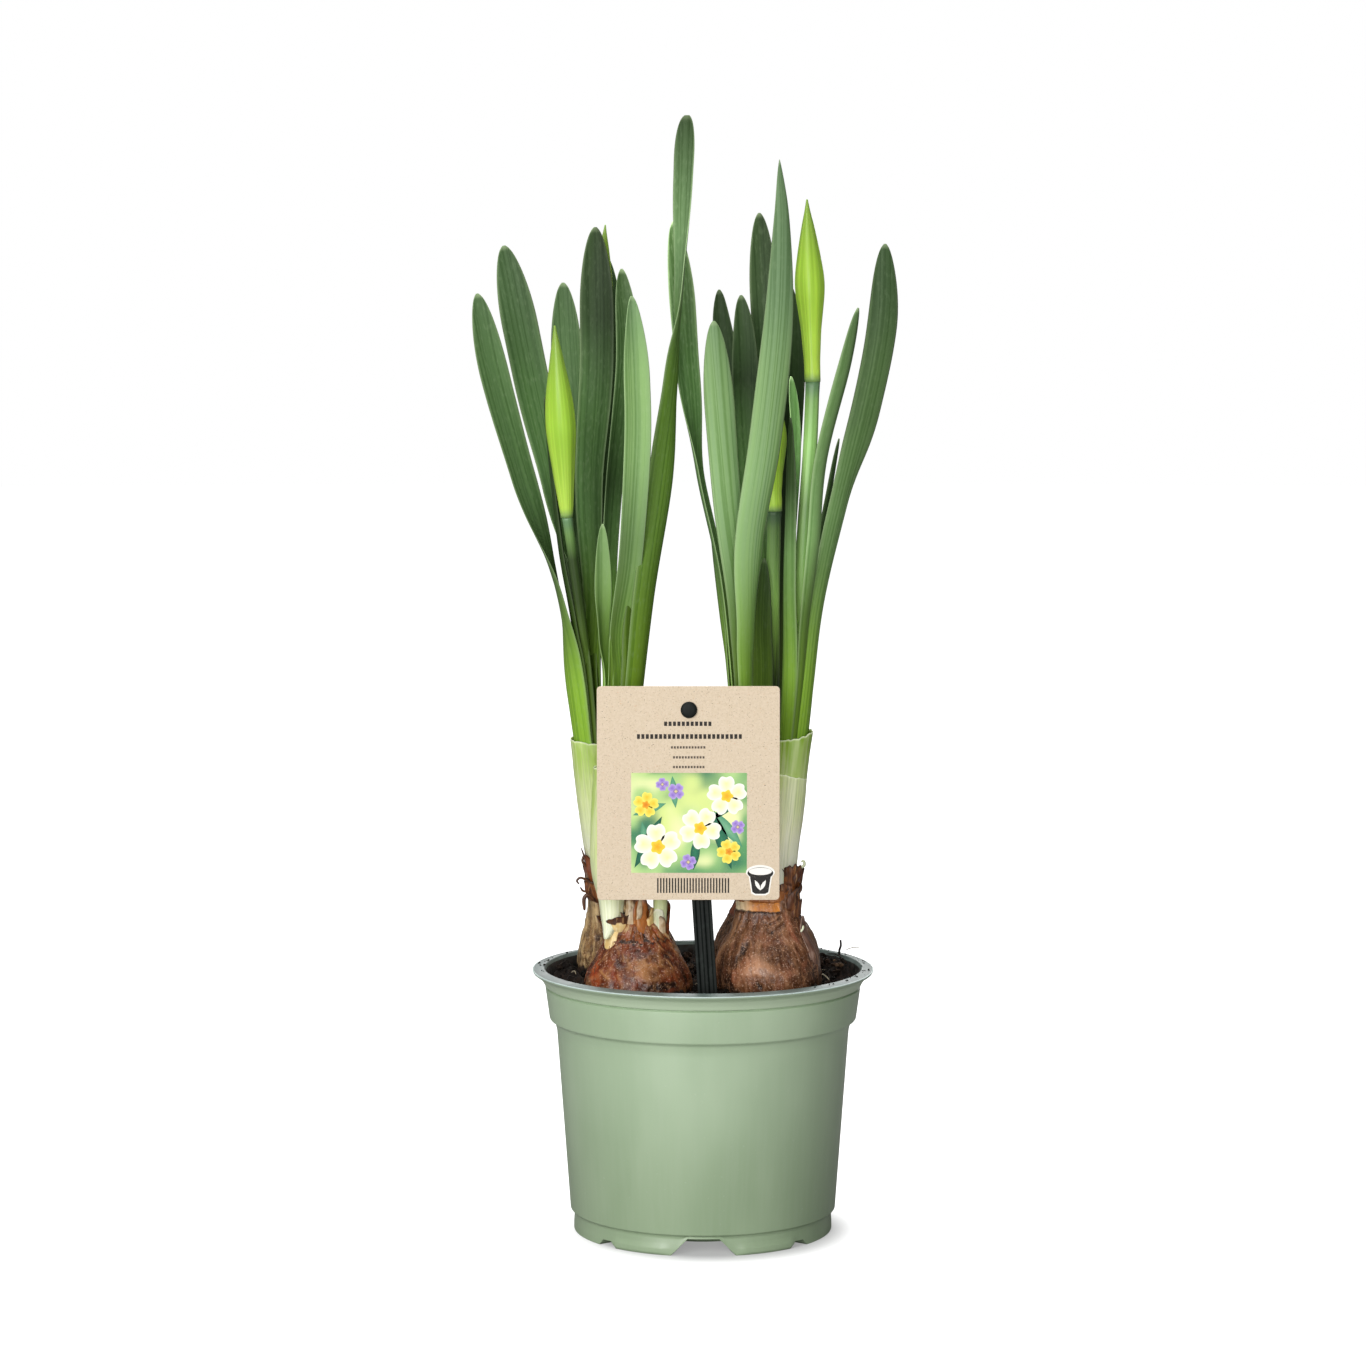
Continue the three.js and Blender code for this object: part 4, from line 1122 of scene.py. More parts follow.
@dataclass(frozen=True)
class Stalk:
    """A flower stalk with its closed bud.

    radius and path are the stalk's, tip is the bud's end and bud its half width. The tints are how light
    the stalk and the bud are, at even steps up: painted shade where leaves shade them, and painted light
    where a real shadow falls on them.
    """

    number: int
    shoot: str
    radius: float
    base: Point
    path: tuple[Point, ...]
    tip: Point
    bud: float
    form: BudForm
    stem_tint_and_shade: tuple[float, ...]
    bud_tint_and_shade: tuple[float, ...]

    GAP = 0.3
    OVERLAP = 0.7
    SIDES = 32
    SWELL = 1.06
    CLASP = 1.08
    RIBS = 0.035

    def build_stem(self) -> Skin:
        """The stalk as a slightly ribbed round tube."""
        line = SmoothLine([SHOOTS[self.shoot].leaf_foot(self.base), self.base, *self.path])
        along = np.linspace(0, line.length + self.GAP, 70)[:, None]
        centre, way, _ = line.read(along[:, 0])
        wide, inner = strap_axes(way, np.zeros(len(along)))
        angle = turns(self.SIDES)
        swell = 1 + (self.SWELL - 1) * smoothstep((along - line.length + 4) / 4)
        radius = (self.radius * (1 + self.RIBS * np.cos(angle * 9)) * swell)[..., None]
        # wide x inner points down the stalk, so the ring runs the other way round it.
        rings = centre[:, None] + radius * (
            wide[:, None] * np.cos(angle)[:, None] - inner[:, None] * np.sin(angle)[:, None])
        z = rings[..., 2]
        top = np.broadcast_to(smoothstep((along - line.length + 9) / 8), z.shape)
        return loft(rings, {"strap": stack(angle * self.radius, along, 40.0 * self.number),
                            "fresh": 1 - smoothstep((z - 170) / 90), "top": top * 0.8,
                            "tint": tint_and_shade_at(self.stem_tint_and_shade, z, self.base[2], self.path[-1][2])})

    def build_bud(self) -> Skin:
        """The bud as a spindle with soft lengthwise folds and a drawn-out tip, clasping the stalk's end."""
        start, end = np.array(self.path[-1], float), np.array(self.tip, float)
        axis = unit(end - start)
        start = start + axis * (self.GAP - self.OVERLAP)
        length = float(np.linalg.norm(end - start))
        share = 1 - (1 - np.linspace(0, 1, 80)) ** 1.3
        clasp = self.radius * self.SWELL * self.CLASP / self.bud * (share < 0.1)
        radii = np.maximum(np.interp(share, *self.form.value), clasp)
        kernel = np.hanning(9) / np.hanning(9).sum()
        radii = np.convolve(np.pad(radii, 4, mode="edge"), kernel, mode="valid")
        radii[-1] = 0.02
        angle = turns(self.SIDES)
        folds = 0.04 * np.cos(angle * 3 + self.number) + 0.02 * np.cos(angle * 8 + 1)
        reach = self.bud * radii[:, None] * (1 + folds * smoothstep(share / 0.15)[:, None])
        side = unit(np.cross(axis, (0.0, 1.0, 0.0)))
        ring = side * np.cos(angle)[:, None] + np.cross(axis, side) * np.sin(angle)[:, None]
        rings = start + axis * (share * length)[:, None, None] + ring * reach[..., None]
        along = np.broadcast_to(share[:, None], reach.shape)
        return loft(rings, {"strap": stack(angle * self.bud, along * length, 40.0 * self.number + 7),
                            "along": along, "tint": tint_and_shade_at(self.bud_tint_and_shade, along, 0, 1)})


STALKS = (
    Stalk(1, "backLeft", 1.7, (-40.3, 13.4, 190), ((-42.6, 7, 214), (-45.8, -0.5, 240), (-47.3, -4.4, 251.7)),
          (-51, -14, 317.5), 5.2, BudForm.FULL, (0.8, 0.4, 0.21, 0.24, 1.7), (1.1, 1.1, 1.2, 0.98, 0.8)),
    Stalk(2, "frontRight", 2.4, (32.4, -15, 190), ((34.2, -15, 240), (36.6, -14, 275), (37.5, -13.5, 298.6)),
          (35.4, -13, 360.5), 5.1, BudForm.SLIM, (1.5, 1.9, 2.2, 1.2, 2.3, 1.3), (1.08, 1.32, 1.28, 1, 0.8)),
    Stalk(3, "backRight", 2.4, (24.6, 16.6, 190), ((24.5, 13.5, 222), (25, 11, 253)), (24.2, 9, 300), 4.6,
          BudForm.SLIM, (0.08, 0.75, 2.1, 1.25, 0.7), (1.4, 1.2, 0.55)),
    Stalk(4, "backLeft", 1.6, (-43.4, 16.6, 190), ((-41.4, 17.6, 221), (-39.4, 17.6, 262),
          (-37.4, 17.6, 300)), (-34.2, 17, 352.5), 4, BudForm.SLIM, (0.6,), (0.8,)),
)


class Flowers:
    """The stalks and their closed buds."""

    def dress(self) -> None:
        """Makes the pieces of each stalk."""
        stem, bud = StemFinish().material(), BudFinish().material()
        for stalk in STALKS:
            number = stalk.number
            make_piece(f"stem_{number}", stalk.build_stem(), [stem], [f"flower_stalk_{number}"])
            make_piece(f"bud_{number}", stalk.build_bud(), [bud], [f"flower_bud_{number}"])


# Bulbs and what stands on them

class Upright:
    """Ovals stacked along a smooth line: the form of a bulb, a neck or a sheath."""

    def __init__(self, rows: Rows, angle: float = 0.0) -> None:
        """Takes the form's measures.

        Args:
            rows: rows of x, y, z and the two half sizes.
            angle: where the first half size points, in degrees.
        """
        self.rows = np.array(rows, float)
        self.angle = math.radians(angle)
        self.slopes = np.gradient(self.rows, self.rows[:, 2], axis=0)

    def at(self, z: Array) -> Array:
        """Reads the form at some heights.

        Args:
            z: the heights.

        Returns:
            The row at each, smoothly between the given ones.
        """
        levels = self.rows[:, 2]
        held = np.clip(z, levels[0], levels[-1])
        low = np.clip(np.searchsorted(levels, held, side="right") - 1, 0, len(levels) - 2)
        step = (levels[low + 1] - levels[low])[..., None]
        t = (held - levels[low])[..., None] / step
        bend = (1 + 2 * t) * (1 - t) ** 2 * self.rows[low] + t * (1 - t) ** 2 * step * self.slopes[low]
        bend += t ** 2 * (3 - 2 * t) * self.rows[low + 1] + t ** 2 * (t - 1) * step * self.slopes[low + 1]
        beyond = np.asarray(z) - held
        edge = np.where(beyond > 0, len(levels) - 1, 0)
        return bend + beyond[..., None] * self.slopes[edge] * np.array([1, 1, 1, 0, 0])

    def points(self, turn: Array, z: Array, out: Array | float) -> Array:
        """Finds points on the form, or outside it.

        Args:
            turn: angles round it, in radians from its first axis.
            z: heights.
            out: how far outside it they lie.

        Returns:
            The points.
        """
        row = self.at(z)
        one, two = (row[..., 3] + out) * np.cos(turn), (row[..., 4] + out) * np.sin(turn)
        cos, sin = math.cos(self.angle), math.sin(self.angle)
        return stack(row[..., 0] + one * cos - two * sin, row[..., 1] + one * sin + two * cos, z)


@dataclass(frozen=True)
class TunicFinish:
    """A daffodil bulb's outer tunic: dead dry leaf base, thin as paper and crumpled, with a moist gloss.

    streaks is how strong its lengthwise fibres are. The skin under it is bare, and cream up to the second
    of two places across the bulb: partly the skin's own paler edge, and partly painted light where shade
    falls on it.
    """

    name: str
    dark: str
    middle: str
    light: str
    warm: str
    bare: str
    streaks: float
    cream: tuple[float, float] = (-500.0, -499.0)

    def material(self) -> Material:
        """Creases get painted shade and crests painted highlights. Fine folds and grains catch small
        highlights, and pale specks paint more of them.
        """
        recipe = Recipe("dry_bulb_tunic_" + self.name, "strap", "crest", "blush", "bare", "soiled")
        where = recipe.millimetres()
        strap, crest, blush, bare, soiled = recipe.values
        cloud, patch, crumple, glint = recipe.grains(
            where, ((9, 9, 11), 3), ((4.4, 4.4, 6), 4), ((7, 7, 4), 3), (0.55, 2))
        # Parallel fibres of a bulb tunic lie about 0.4 mm apart. They are drawn at twice that.
        streak, mottle = recipe.grains(strap, ((0.9, 16, 9), 4), ((1, 2.4, 9), 4))
        # The crumple's pattern crosses one half along a net of lines, and the cracks run there.
        from_half = recipe.add("Math", {"operation": "SUBTRACT", 0: crumple, 1: 0.5})
        crack = recipe.add("Math", {"operation": "ABSOLUTE", 0: from_half})
        across = recipe.add("SeparateXYZ", {0: where}, "X")
        # The bare skin is painted cream towards one side, partly its own paler edge and partly painted light
        # where shade falls on it, and the fold value paints shade and highlights on it too.
        bared = recipe.paint(
            self.bare, Coat(patch, self.warm, 0.45, 0.62, 0, 0.4),
            Coat(across, "#FFF3CC", *self.cream, 0.9, 0), Coat(streak, self.warm, 0.34, 0.54, 0.3, 0),
            Coat(crest, self.dark, 0, 0.4, 0.9, 0), Coat(crest, "#E2C08A", 0.55, 1, 0, 0.7))
        # The fold value paints shade in the creases and highlights on the crests, and the glint specks are
        # painted highlights.
        colour = recipe.paint(
            self.middle, Coat(cloud, self.dark, 0.42, 0.56, 0.45, 0),
            Coat(patch, self.warm, 0.5, 0.6, 0, 0.25), Coat(blush, self.warm, 0.1, 0.9, 0, 0.85),
            Coat(crest, self.light, 0.45, 1, 0, 0.75), Coat(crest, self.dark, 0, 0.42, 1, 0),
            Coat(streak, self.dark, 0.34, 0.54, self.streaks, 0),
            Coat(streak, self.light, 0.54, 0.7, 0, self.streaks),
            Coat(mottle, self.dark, 0.34, 0.52, 0.38, 0), Coat(mottle, self.light, 0.54, 0.68, 0, 0.3),
            Coat(crack, self.light, 0, 0.008, 0.45, 0), Coat(bare, bared),
            Coat(glint, "#DDB8A0", 0.6, 0.68, 0, 0.4), Coat(soiled, "#17100B"))
        return recipe.finish({"IOR": 1.5, "Specular IOR Level": 0.4}, colour, (mottle, 0.3, 0.7, 0.24, 0.46),
                             (crack, 0.35, 0.6), (mottle, 0.35, 0.8), (glint, 0.15, 0.8))


@dataclass(frozen=True)
class Mark:
    """A soft fold, valley or stain on a bulb's skin, along a line between two places.

    A place is an angle in degrees, with -90 to the front, and a height. width is half its breadth in
    millimetres, and rise how far it stands out. light is how much lighter it is, or darker below 0: painted
    shade in a valley, a painted highlight along a fold, and a stain's own colour on a stain. blush is how
    much it takes of the warm colour.
    """

    angle: float
    z: float
    end_angle: float
    end_z: float
    width: float
    rise: float
    light: float
    blush: float = 0.0

    def share(self, spots: Array, arc: float) -> Array:
        """Finds how much of it lies at each spot.

        Args:
            spots: angles, as lengths round the bulb, and heights.
            arc: how long one degree is round the bulb.

        Returns:
            Shares from 0 to 1.
        """
        start, end = np.array([self.angle * arc, self.z]), np.array([self.end_angle * arc, self.end_z])
        way = end - start
        along = np.clip((spots - start) @ way / (way @ way), 0, 1)
        away = np.linalg.norm(spots - start - along[..., None] * way, axis=-1)
        return np.exp(-(away / self.width) ** 2)


@dataclass(frozen=True)
class FlakeFinish:
    """Torn dry scales round a bulb's neck: paper-thin, with browner torn edges."""

    name: str
    base: str
    streak: str
    edge: str
    gloss: float = 0.4
    thread: str = "#B88E60"

    def material(self) -> Material:
        """Lengthwise fibres, blotches where it rotted, and a dark rim where it tore."""
        recipe = Recipe("torn_dry_scale_" + self.name, "strap", "torn")
        strap, torn = recipe.values
        fibre, patch = recipe.grains(strap, ((0.55, 9, 9), 3), ((2.6, 4.5, 9), 3))
        colour = recipe.paint(
            self.base, Coat(patch, self.streak, 0.4, 0.62), Coat(fibre, self.streak, 0.35, 0.58, 0.75, 0),
            Coat(patch, self.edge, 0.3, 0.42, 0.6, 0), Coat(fibre, self.thread, 0.6, 0.68, 0, 0.6),
            Coat(torn, self.edge))
        return recipe.finish({"IOR": 1.48}, colour, self.gloss, (fibre, 0.22, 0.9), (patch, 0.3, 0.5))


class Flake(Enum):
    """The kinds of torn scale."""

    TUNIC = FlakeFinish("brown", "#6B452C", "#472A1A", "#2A1810")
    RUST = FlakeFinish("rust", "#8A4A26", "#6B3319", "#34190D")
    ORANGE = FlakeFinish("amber", "#B5723A", "#96551F", "#552C12", 0.36)
    FIBRE = FlakeFinish("fibrous", "#8F562A", "#4C260F", "#2A1408", 0.5)
    BEIGE = FlakeFinish("beige", "#CDBB9C", "#A5865F", "#5A3820", 0.42)
    CREAM = FlakeFinish("cream", "#EBD6A4", "#D8B775", "#8A5A2E", 0.5)
    GREY = FlakeFinish("grey", "#7A5C4E", "#573B2E", "#9A8072", 0.35)
    PALE = FlakeFinish("pale", "#D9DBC0", "#BFC6A0", "#E6E4CE", 0.45)


@dataclass(frozen=True)
class Tatter:
    """One torn piece of dry skin that lies round an upright form, which is the bulb where it has no rows.

    The angles are in degrees from +X, with -90 towards the card's side. low and high are the heights of
    its edges, out how far it stands off at the bottom, and flare how much further at the top. Its low edge
    and its sides are tucked that much deeper, so that only its torn top stands free.
    """

    rows: Rows
    kind: Flake
    low: float
    high: float
    start: float = -180.0
    end: float = 180.0
    out: float = 0.35
    flare: float = 0.3
    ragged: float = 1.4
    wrinkle: float = 0.25
    slant: float = 0.0
    rough_low: float = 0.8
    tucked: float = 1.4

    ROWS = 22
    WHOLE = 340.0
    THICKNESS = 0.12

    def build(self, form: Upright, seed: int) -> Skin:
        """Makes the piece as a closed thin sheet.

        Args:
            form: what it lies round.
            seed: picks its tears and folds.

        Returns:
            The skin, with its fibres' place and its torn edges at each point.
        """
        spread = self.end - self.start
        share = np.linspace(0, 1, max(14, int(spread / 3)))
        turn = np.radians(self.start + spread * share)
        rim = form.at(np.array([(self.low + self.high) / 2]))[0, 3:].mean()
        tears = stack(turn * rim, float(seed))
        coarse, fine = lumps(tears, 2.6, seed, 2), lumps(tears, 0.7, seed + 1, 1)
        slant = self.slant * (share - 0.5)
        # A piece that doesn't go all the way round narrows to a rounded tongue at its sides.
        whole = spread > self.WHOLE
        side = np.ones_like(share) if whole else np.sin(math.pi * np.clip(share, 0.02, 0.98)) ** 0.45
        middle = (self.low + self.high) / 2 + slant * 0.5
        top = middle + (self.high - middle + slant + self.ragged * (0.8 * coarse + 0.5 * fine)) * side
        bottom = middle - (middle - self.low + self.rough_low * lumps(tears, 1.7, seed + 2, 2)) * side
        rise = np.linspace(0, 1, self.ROWS)[:, None]
        z = bottom + (top - bottom) * rise
        around = np.broadcast_to(turn, z.shape)
        folds = lumps(stack(around * rim, z * 0.35), 1.9, seed + 3, 2)
        sag = lumps(stack(around * rim, z), 4.0, seed + 4, 1)
        free = smoothstep(rise / 0.3) * np.where(whole, 1, smoothstep((side - 0.55) / 0.35))
        out = self.out + self.flare * rise ** 2 + self.wrinkle * (folds + 0.7 * sag) * (0.35 + rise)
        points = form.points(around, z, out - self.tucked * (1 - free))
        torn = np.maximum(smoothstep((rise - 0.86) / 0.14), smoothstep((np.abs(share - 0.5) - 0.46) / 0.04))
        strap = stack(around * rim, z, seed * 11.0)
        return sheet(points, self.THICKNESS, {"strap": strap, "torn": torn * 0.8})


def strand(points: Sequence[Point], radius: float, sides: int = 7, ends: float = 0.4) -> Skin:
    """Makes a thin round strand along a smooth line.

    Args:
        points: the line.
        radius: its radius in the middle.
        sides: how many sides it has.
        ends: the share of its radius that its ends keep.

    Returns:
        The closed skin.
    """
    line = SmoothLine(points)
    along = np.linspace(0, line.length, 5 * len(points))
    centre, way, _ = line.read(along)
    aside = np.array([0.31, 0.92, 0.24]) if abs(way[0, 1]) < 0.8 else np.array([0.92, 0.2, 0.31])
    first = unit(np.cross(way, aside))
    second = np.cross(way, first)
    turn = turns(sides)[:, None]
    slim = ends + (1 - ends) * np.sin(math.pi * np.linspace(0, 1, len(along))) ** 0.5
    reach = (radius * slim)[:, None, None]
    rings = centre[:, None] + reach * (first[:, None] * np.cos(turn) + second[:, None] * np.sin(turn))
    return loft(rings, {"strap": stack(np.linspace(0, TURN * radius, sides), along[:, None], 0.0)})


@dataclass(frozen=True)
class Bulb:
    """One bulb: its rows, its skin and the torn pieces round its neck.

    bare is where the outer tunic has split off: the angles from and to, and the height it starts at. torn
    is how far that edge wanders, coarsely and finely. crumpled is how strong the random folds are. marks
    are the values of each Mark.
    """

    name: str
    rows: Rows
    finish: TunicFinish
    seed: int
    bare: Point
    tatters: tuple[Tatter, ...]
    twist: float = 0.25
    crumpled: float = 1.0
    marks: Rows = ()
    torn: tuple[float, float] = (1.1, 0.4)

    RINGS = 120
    AROUND = 220
    SOIL = 88.0
    TUNIC = 0.4
    GIRTH = 12.0

    def relief(self, turn: Array, z: Array, points: Array) -> Array:
        """Finds how far the skin stands proud of the plain form, from its folds and crumples.

        Args:
            turn: angles round the bulb.
            z: heights.
            points: the points of the plain form.

        Returns:
            The heights of the folds.
        """
        rise = smoothstep((z - self.SOIL) / (self.rows[-1][2] - self.SOIL))
        swirl = turn + self.twist * rise
        ring = stack(np.cos(swirl) * 5, np.sin(swirl) * 5, z * 0.05 + self.seed)
        # One less twice a soft height's size has sharp crests, as crumpled paper does.
        folds, fine, crumple = (1 - 2 * np.abs(lumps(*given)) for given in (
            (ring, 1.6, self.seed, 2), (ring, 0.6, self.seed + 1, 1), (points, 4.2, self.seed + 2, 3)))
        dents = lumps(points, 10.0, self.seed + 3, 1)
        total = 0.6 * dents + (0.15 + 0.25 * rise) * folds + (0.04 + 0.12 * rise) * fine + 0.55 * crumple
        return self.crumpled * total - 0.5

    def bared(self, turn: Array, z: Array) -> tuple[Array, Array]:
        """Finds where the outer tunic is gone.

        Args:
            turn: angles round the bulb.
            z: heights.

        Returns:
            1 at each point without it, and 1 where its torn edge runs.
        """
        start, end, low = self.bare
        degrees = self.from_back(turn)
        arc = stack(turn * self.GIRTH, 0.0)
        coarse, fine = self.torn
        edge = low + coarse * lumps(arc, 3.4, self.seed + 5, 2) + fine * lumps(arc, 0.8, self.seed + 6, 1)
        across = smoothstep((degrees - start) / 5) * smoothstep((end - degrees) / 5)
        return across * smoothstep((z - edge) / 0.35), across * np.exp(-((z - edge - 0.1) / 0.5) ** 2)

    @staticmethod
    def from_back(turn: Array) -> Array:
        """Angles in degrees from -270 to 90, so that they don't break on the front."""
        return (np.degrees(turn) + 270) % 360 - 270

    def build(self) -> Skin:
        """The bulb's body."""
        form = Upright(self.rows)
        low, high = self.rows[0][2], self.rows[-1][2]
        z, turn = np.meshgrid(low + (high - low) * np.linspace(0, 1, self.RINGS) ** 0.65,
                              turns(self.AROUND), indexing="ij")
        plain = form.points(turn, z, 0.0)
        relief, (bare, rim) = self.relief(turn, z, plain), self.bared(turn, z)
        arc = math.radians(form.at(z)[..., 3].max())
        wobble = [0.9 * lumps(plain, 4.0, self.seed + step, 2) for step in (20, 21)]
        spots = stack(self.from_back(turn) * arc + wobble[0], z + wobble[1])
        # This value is painted shade and light: darker in the relief's hollows, lighter on its crests, with
        # the marks added as painted shade in valleys, painted highlights along folds and stains, and darker
        # along the bare patch's torn edge.
        crest, blush = 0.42 + 0.6 * (relief + 0.5 - 0.3 * self.crumpled), np.zeros_like(z)
        for mark in (Mark(*values) for values in self.marks):
            share = mark.share(spots, arc)
            relief += mark.rise * share
            crest += mark.light * share
            blush += mark.blush * share
        points = form.points(turn, z, relief - self.TUNIC * bare + 0.15 * rim * (1 - bare))
        soiled = 1 - smoothstep((z - self.SOIL - 0.5 + 2.2 * lumps(plain, 2.4, self.seed + 9, 2)) / 3.4)
        return loft(points, {"strap": stack(turn * self.GIRTH + self.twist * z * 0.2, z, self.seed * 5.0),
                             "crest": np.clip(crest - 0.6 * rim, 0, 1), "blush": np.clip(blush, 0, 1),
                             "bare": smoothstep(bare * 2 - 1), "soiled": soiled * 0.92})

    def dress(self, flakes: dict[Flake, Material]) -> None:
        """Makes the body's piece and one piece of all its torn scales.

        Args:
            flakes: the material of each kind of scale.
        """
        make_piece(f"{self.name}_body", self.build(), [self.finish.material()], [self.name])
        kinds = list(flakes)
        skins = [tatter.build(Upright(tatter.rows or self.rows), self.seed * 50 + number * 7)
                 .with_slot(kinds.index(tatter.kind)) for number, tatter in enumerate(self.tatters)]
        make_piece(f"{self.name}_scales", join_skins(skins), list(flakes.values()))


# What the torn scales lie round: rows as an Upright takes them. OWN is the bulb itself.
OWN: Rows = ()
LEFT_SHOOT = ((-30.4, -22.2, 106, 3.2, 3.4), (-30.6, -22, 111, 4, 4), (-31.6, -21.6, 118, 4.6, 4.6))
SIDE_SHOOT = ((-15.4, -22, 104, 2.6, 2.8), (-15, -22, 110, 2.6, 2.6), (-14.8, -21.6, 122, 2.8, 2.8))
LEFT_MIDDLE = ((-22.6, -22.6, 104, 6.8, 5.4), (-23, -22.6, 111, 5.2, 4.2), (-23, -22.4, 121, 4.4, 3.4))
FIBRE_NECK = (
    (27.2, -21.8, 109, 7.6, 7.6), (27.6, -21.4, 116, 6, 5.8), (27.4, -20.8, 124, 5.7, 5.5),
    (27.3, -20.6, 133, 6.2, 5.9),
)
BACK_LEFT_NECK = ((-31, 20.4, 112, 9.6, 8), (-34, 19.4, 121, 7, 6.6), (-36.2, 18.5, 134, 6.2, 6.2))
BACK_RIGHT_NECK = ((21.4, 20.6, 112, 9.6, 8.8), (21, 20.1, 120, 7.2, 7.2), (21, 20, 128, 7, 7))
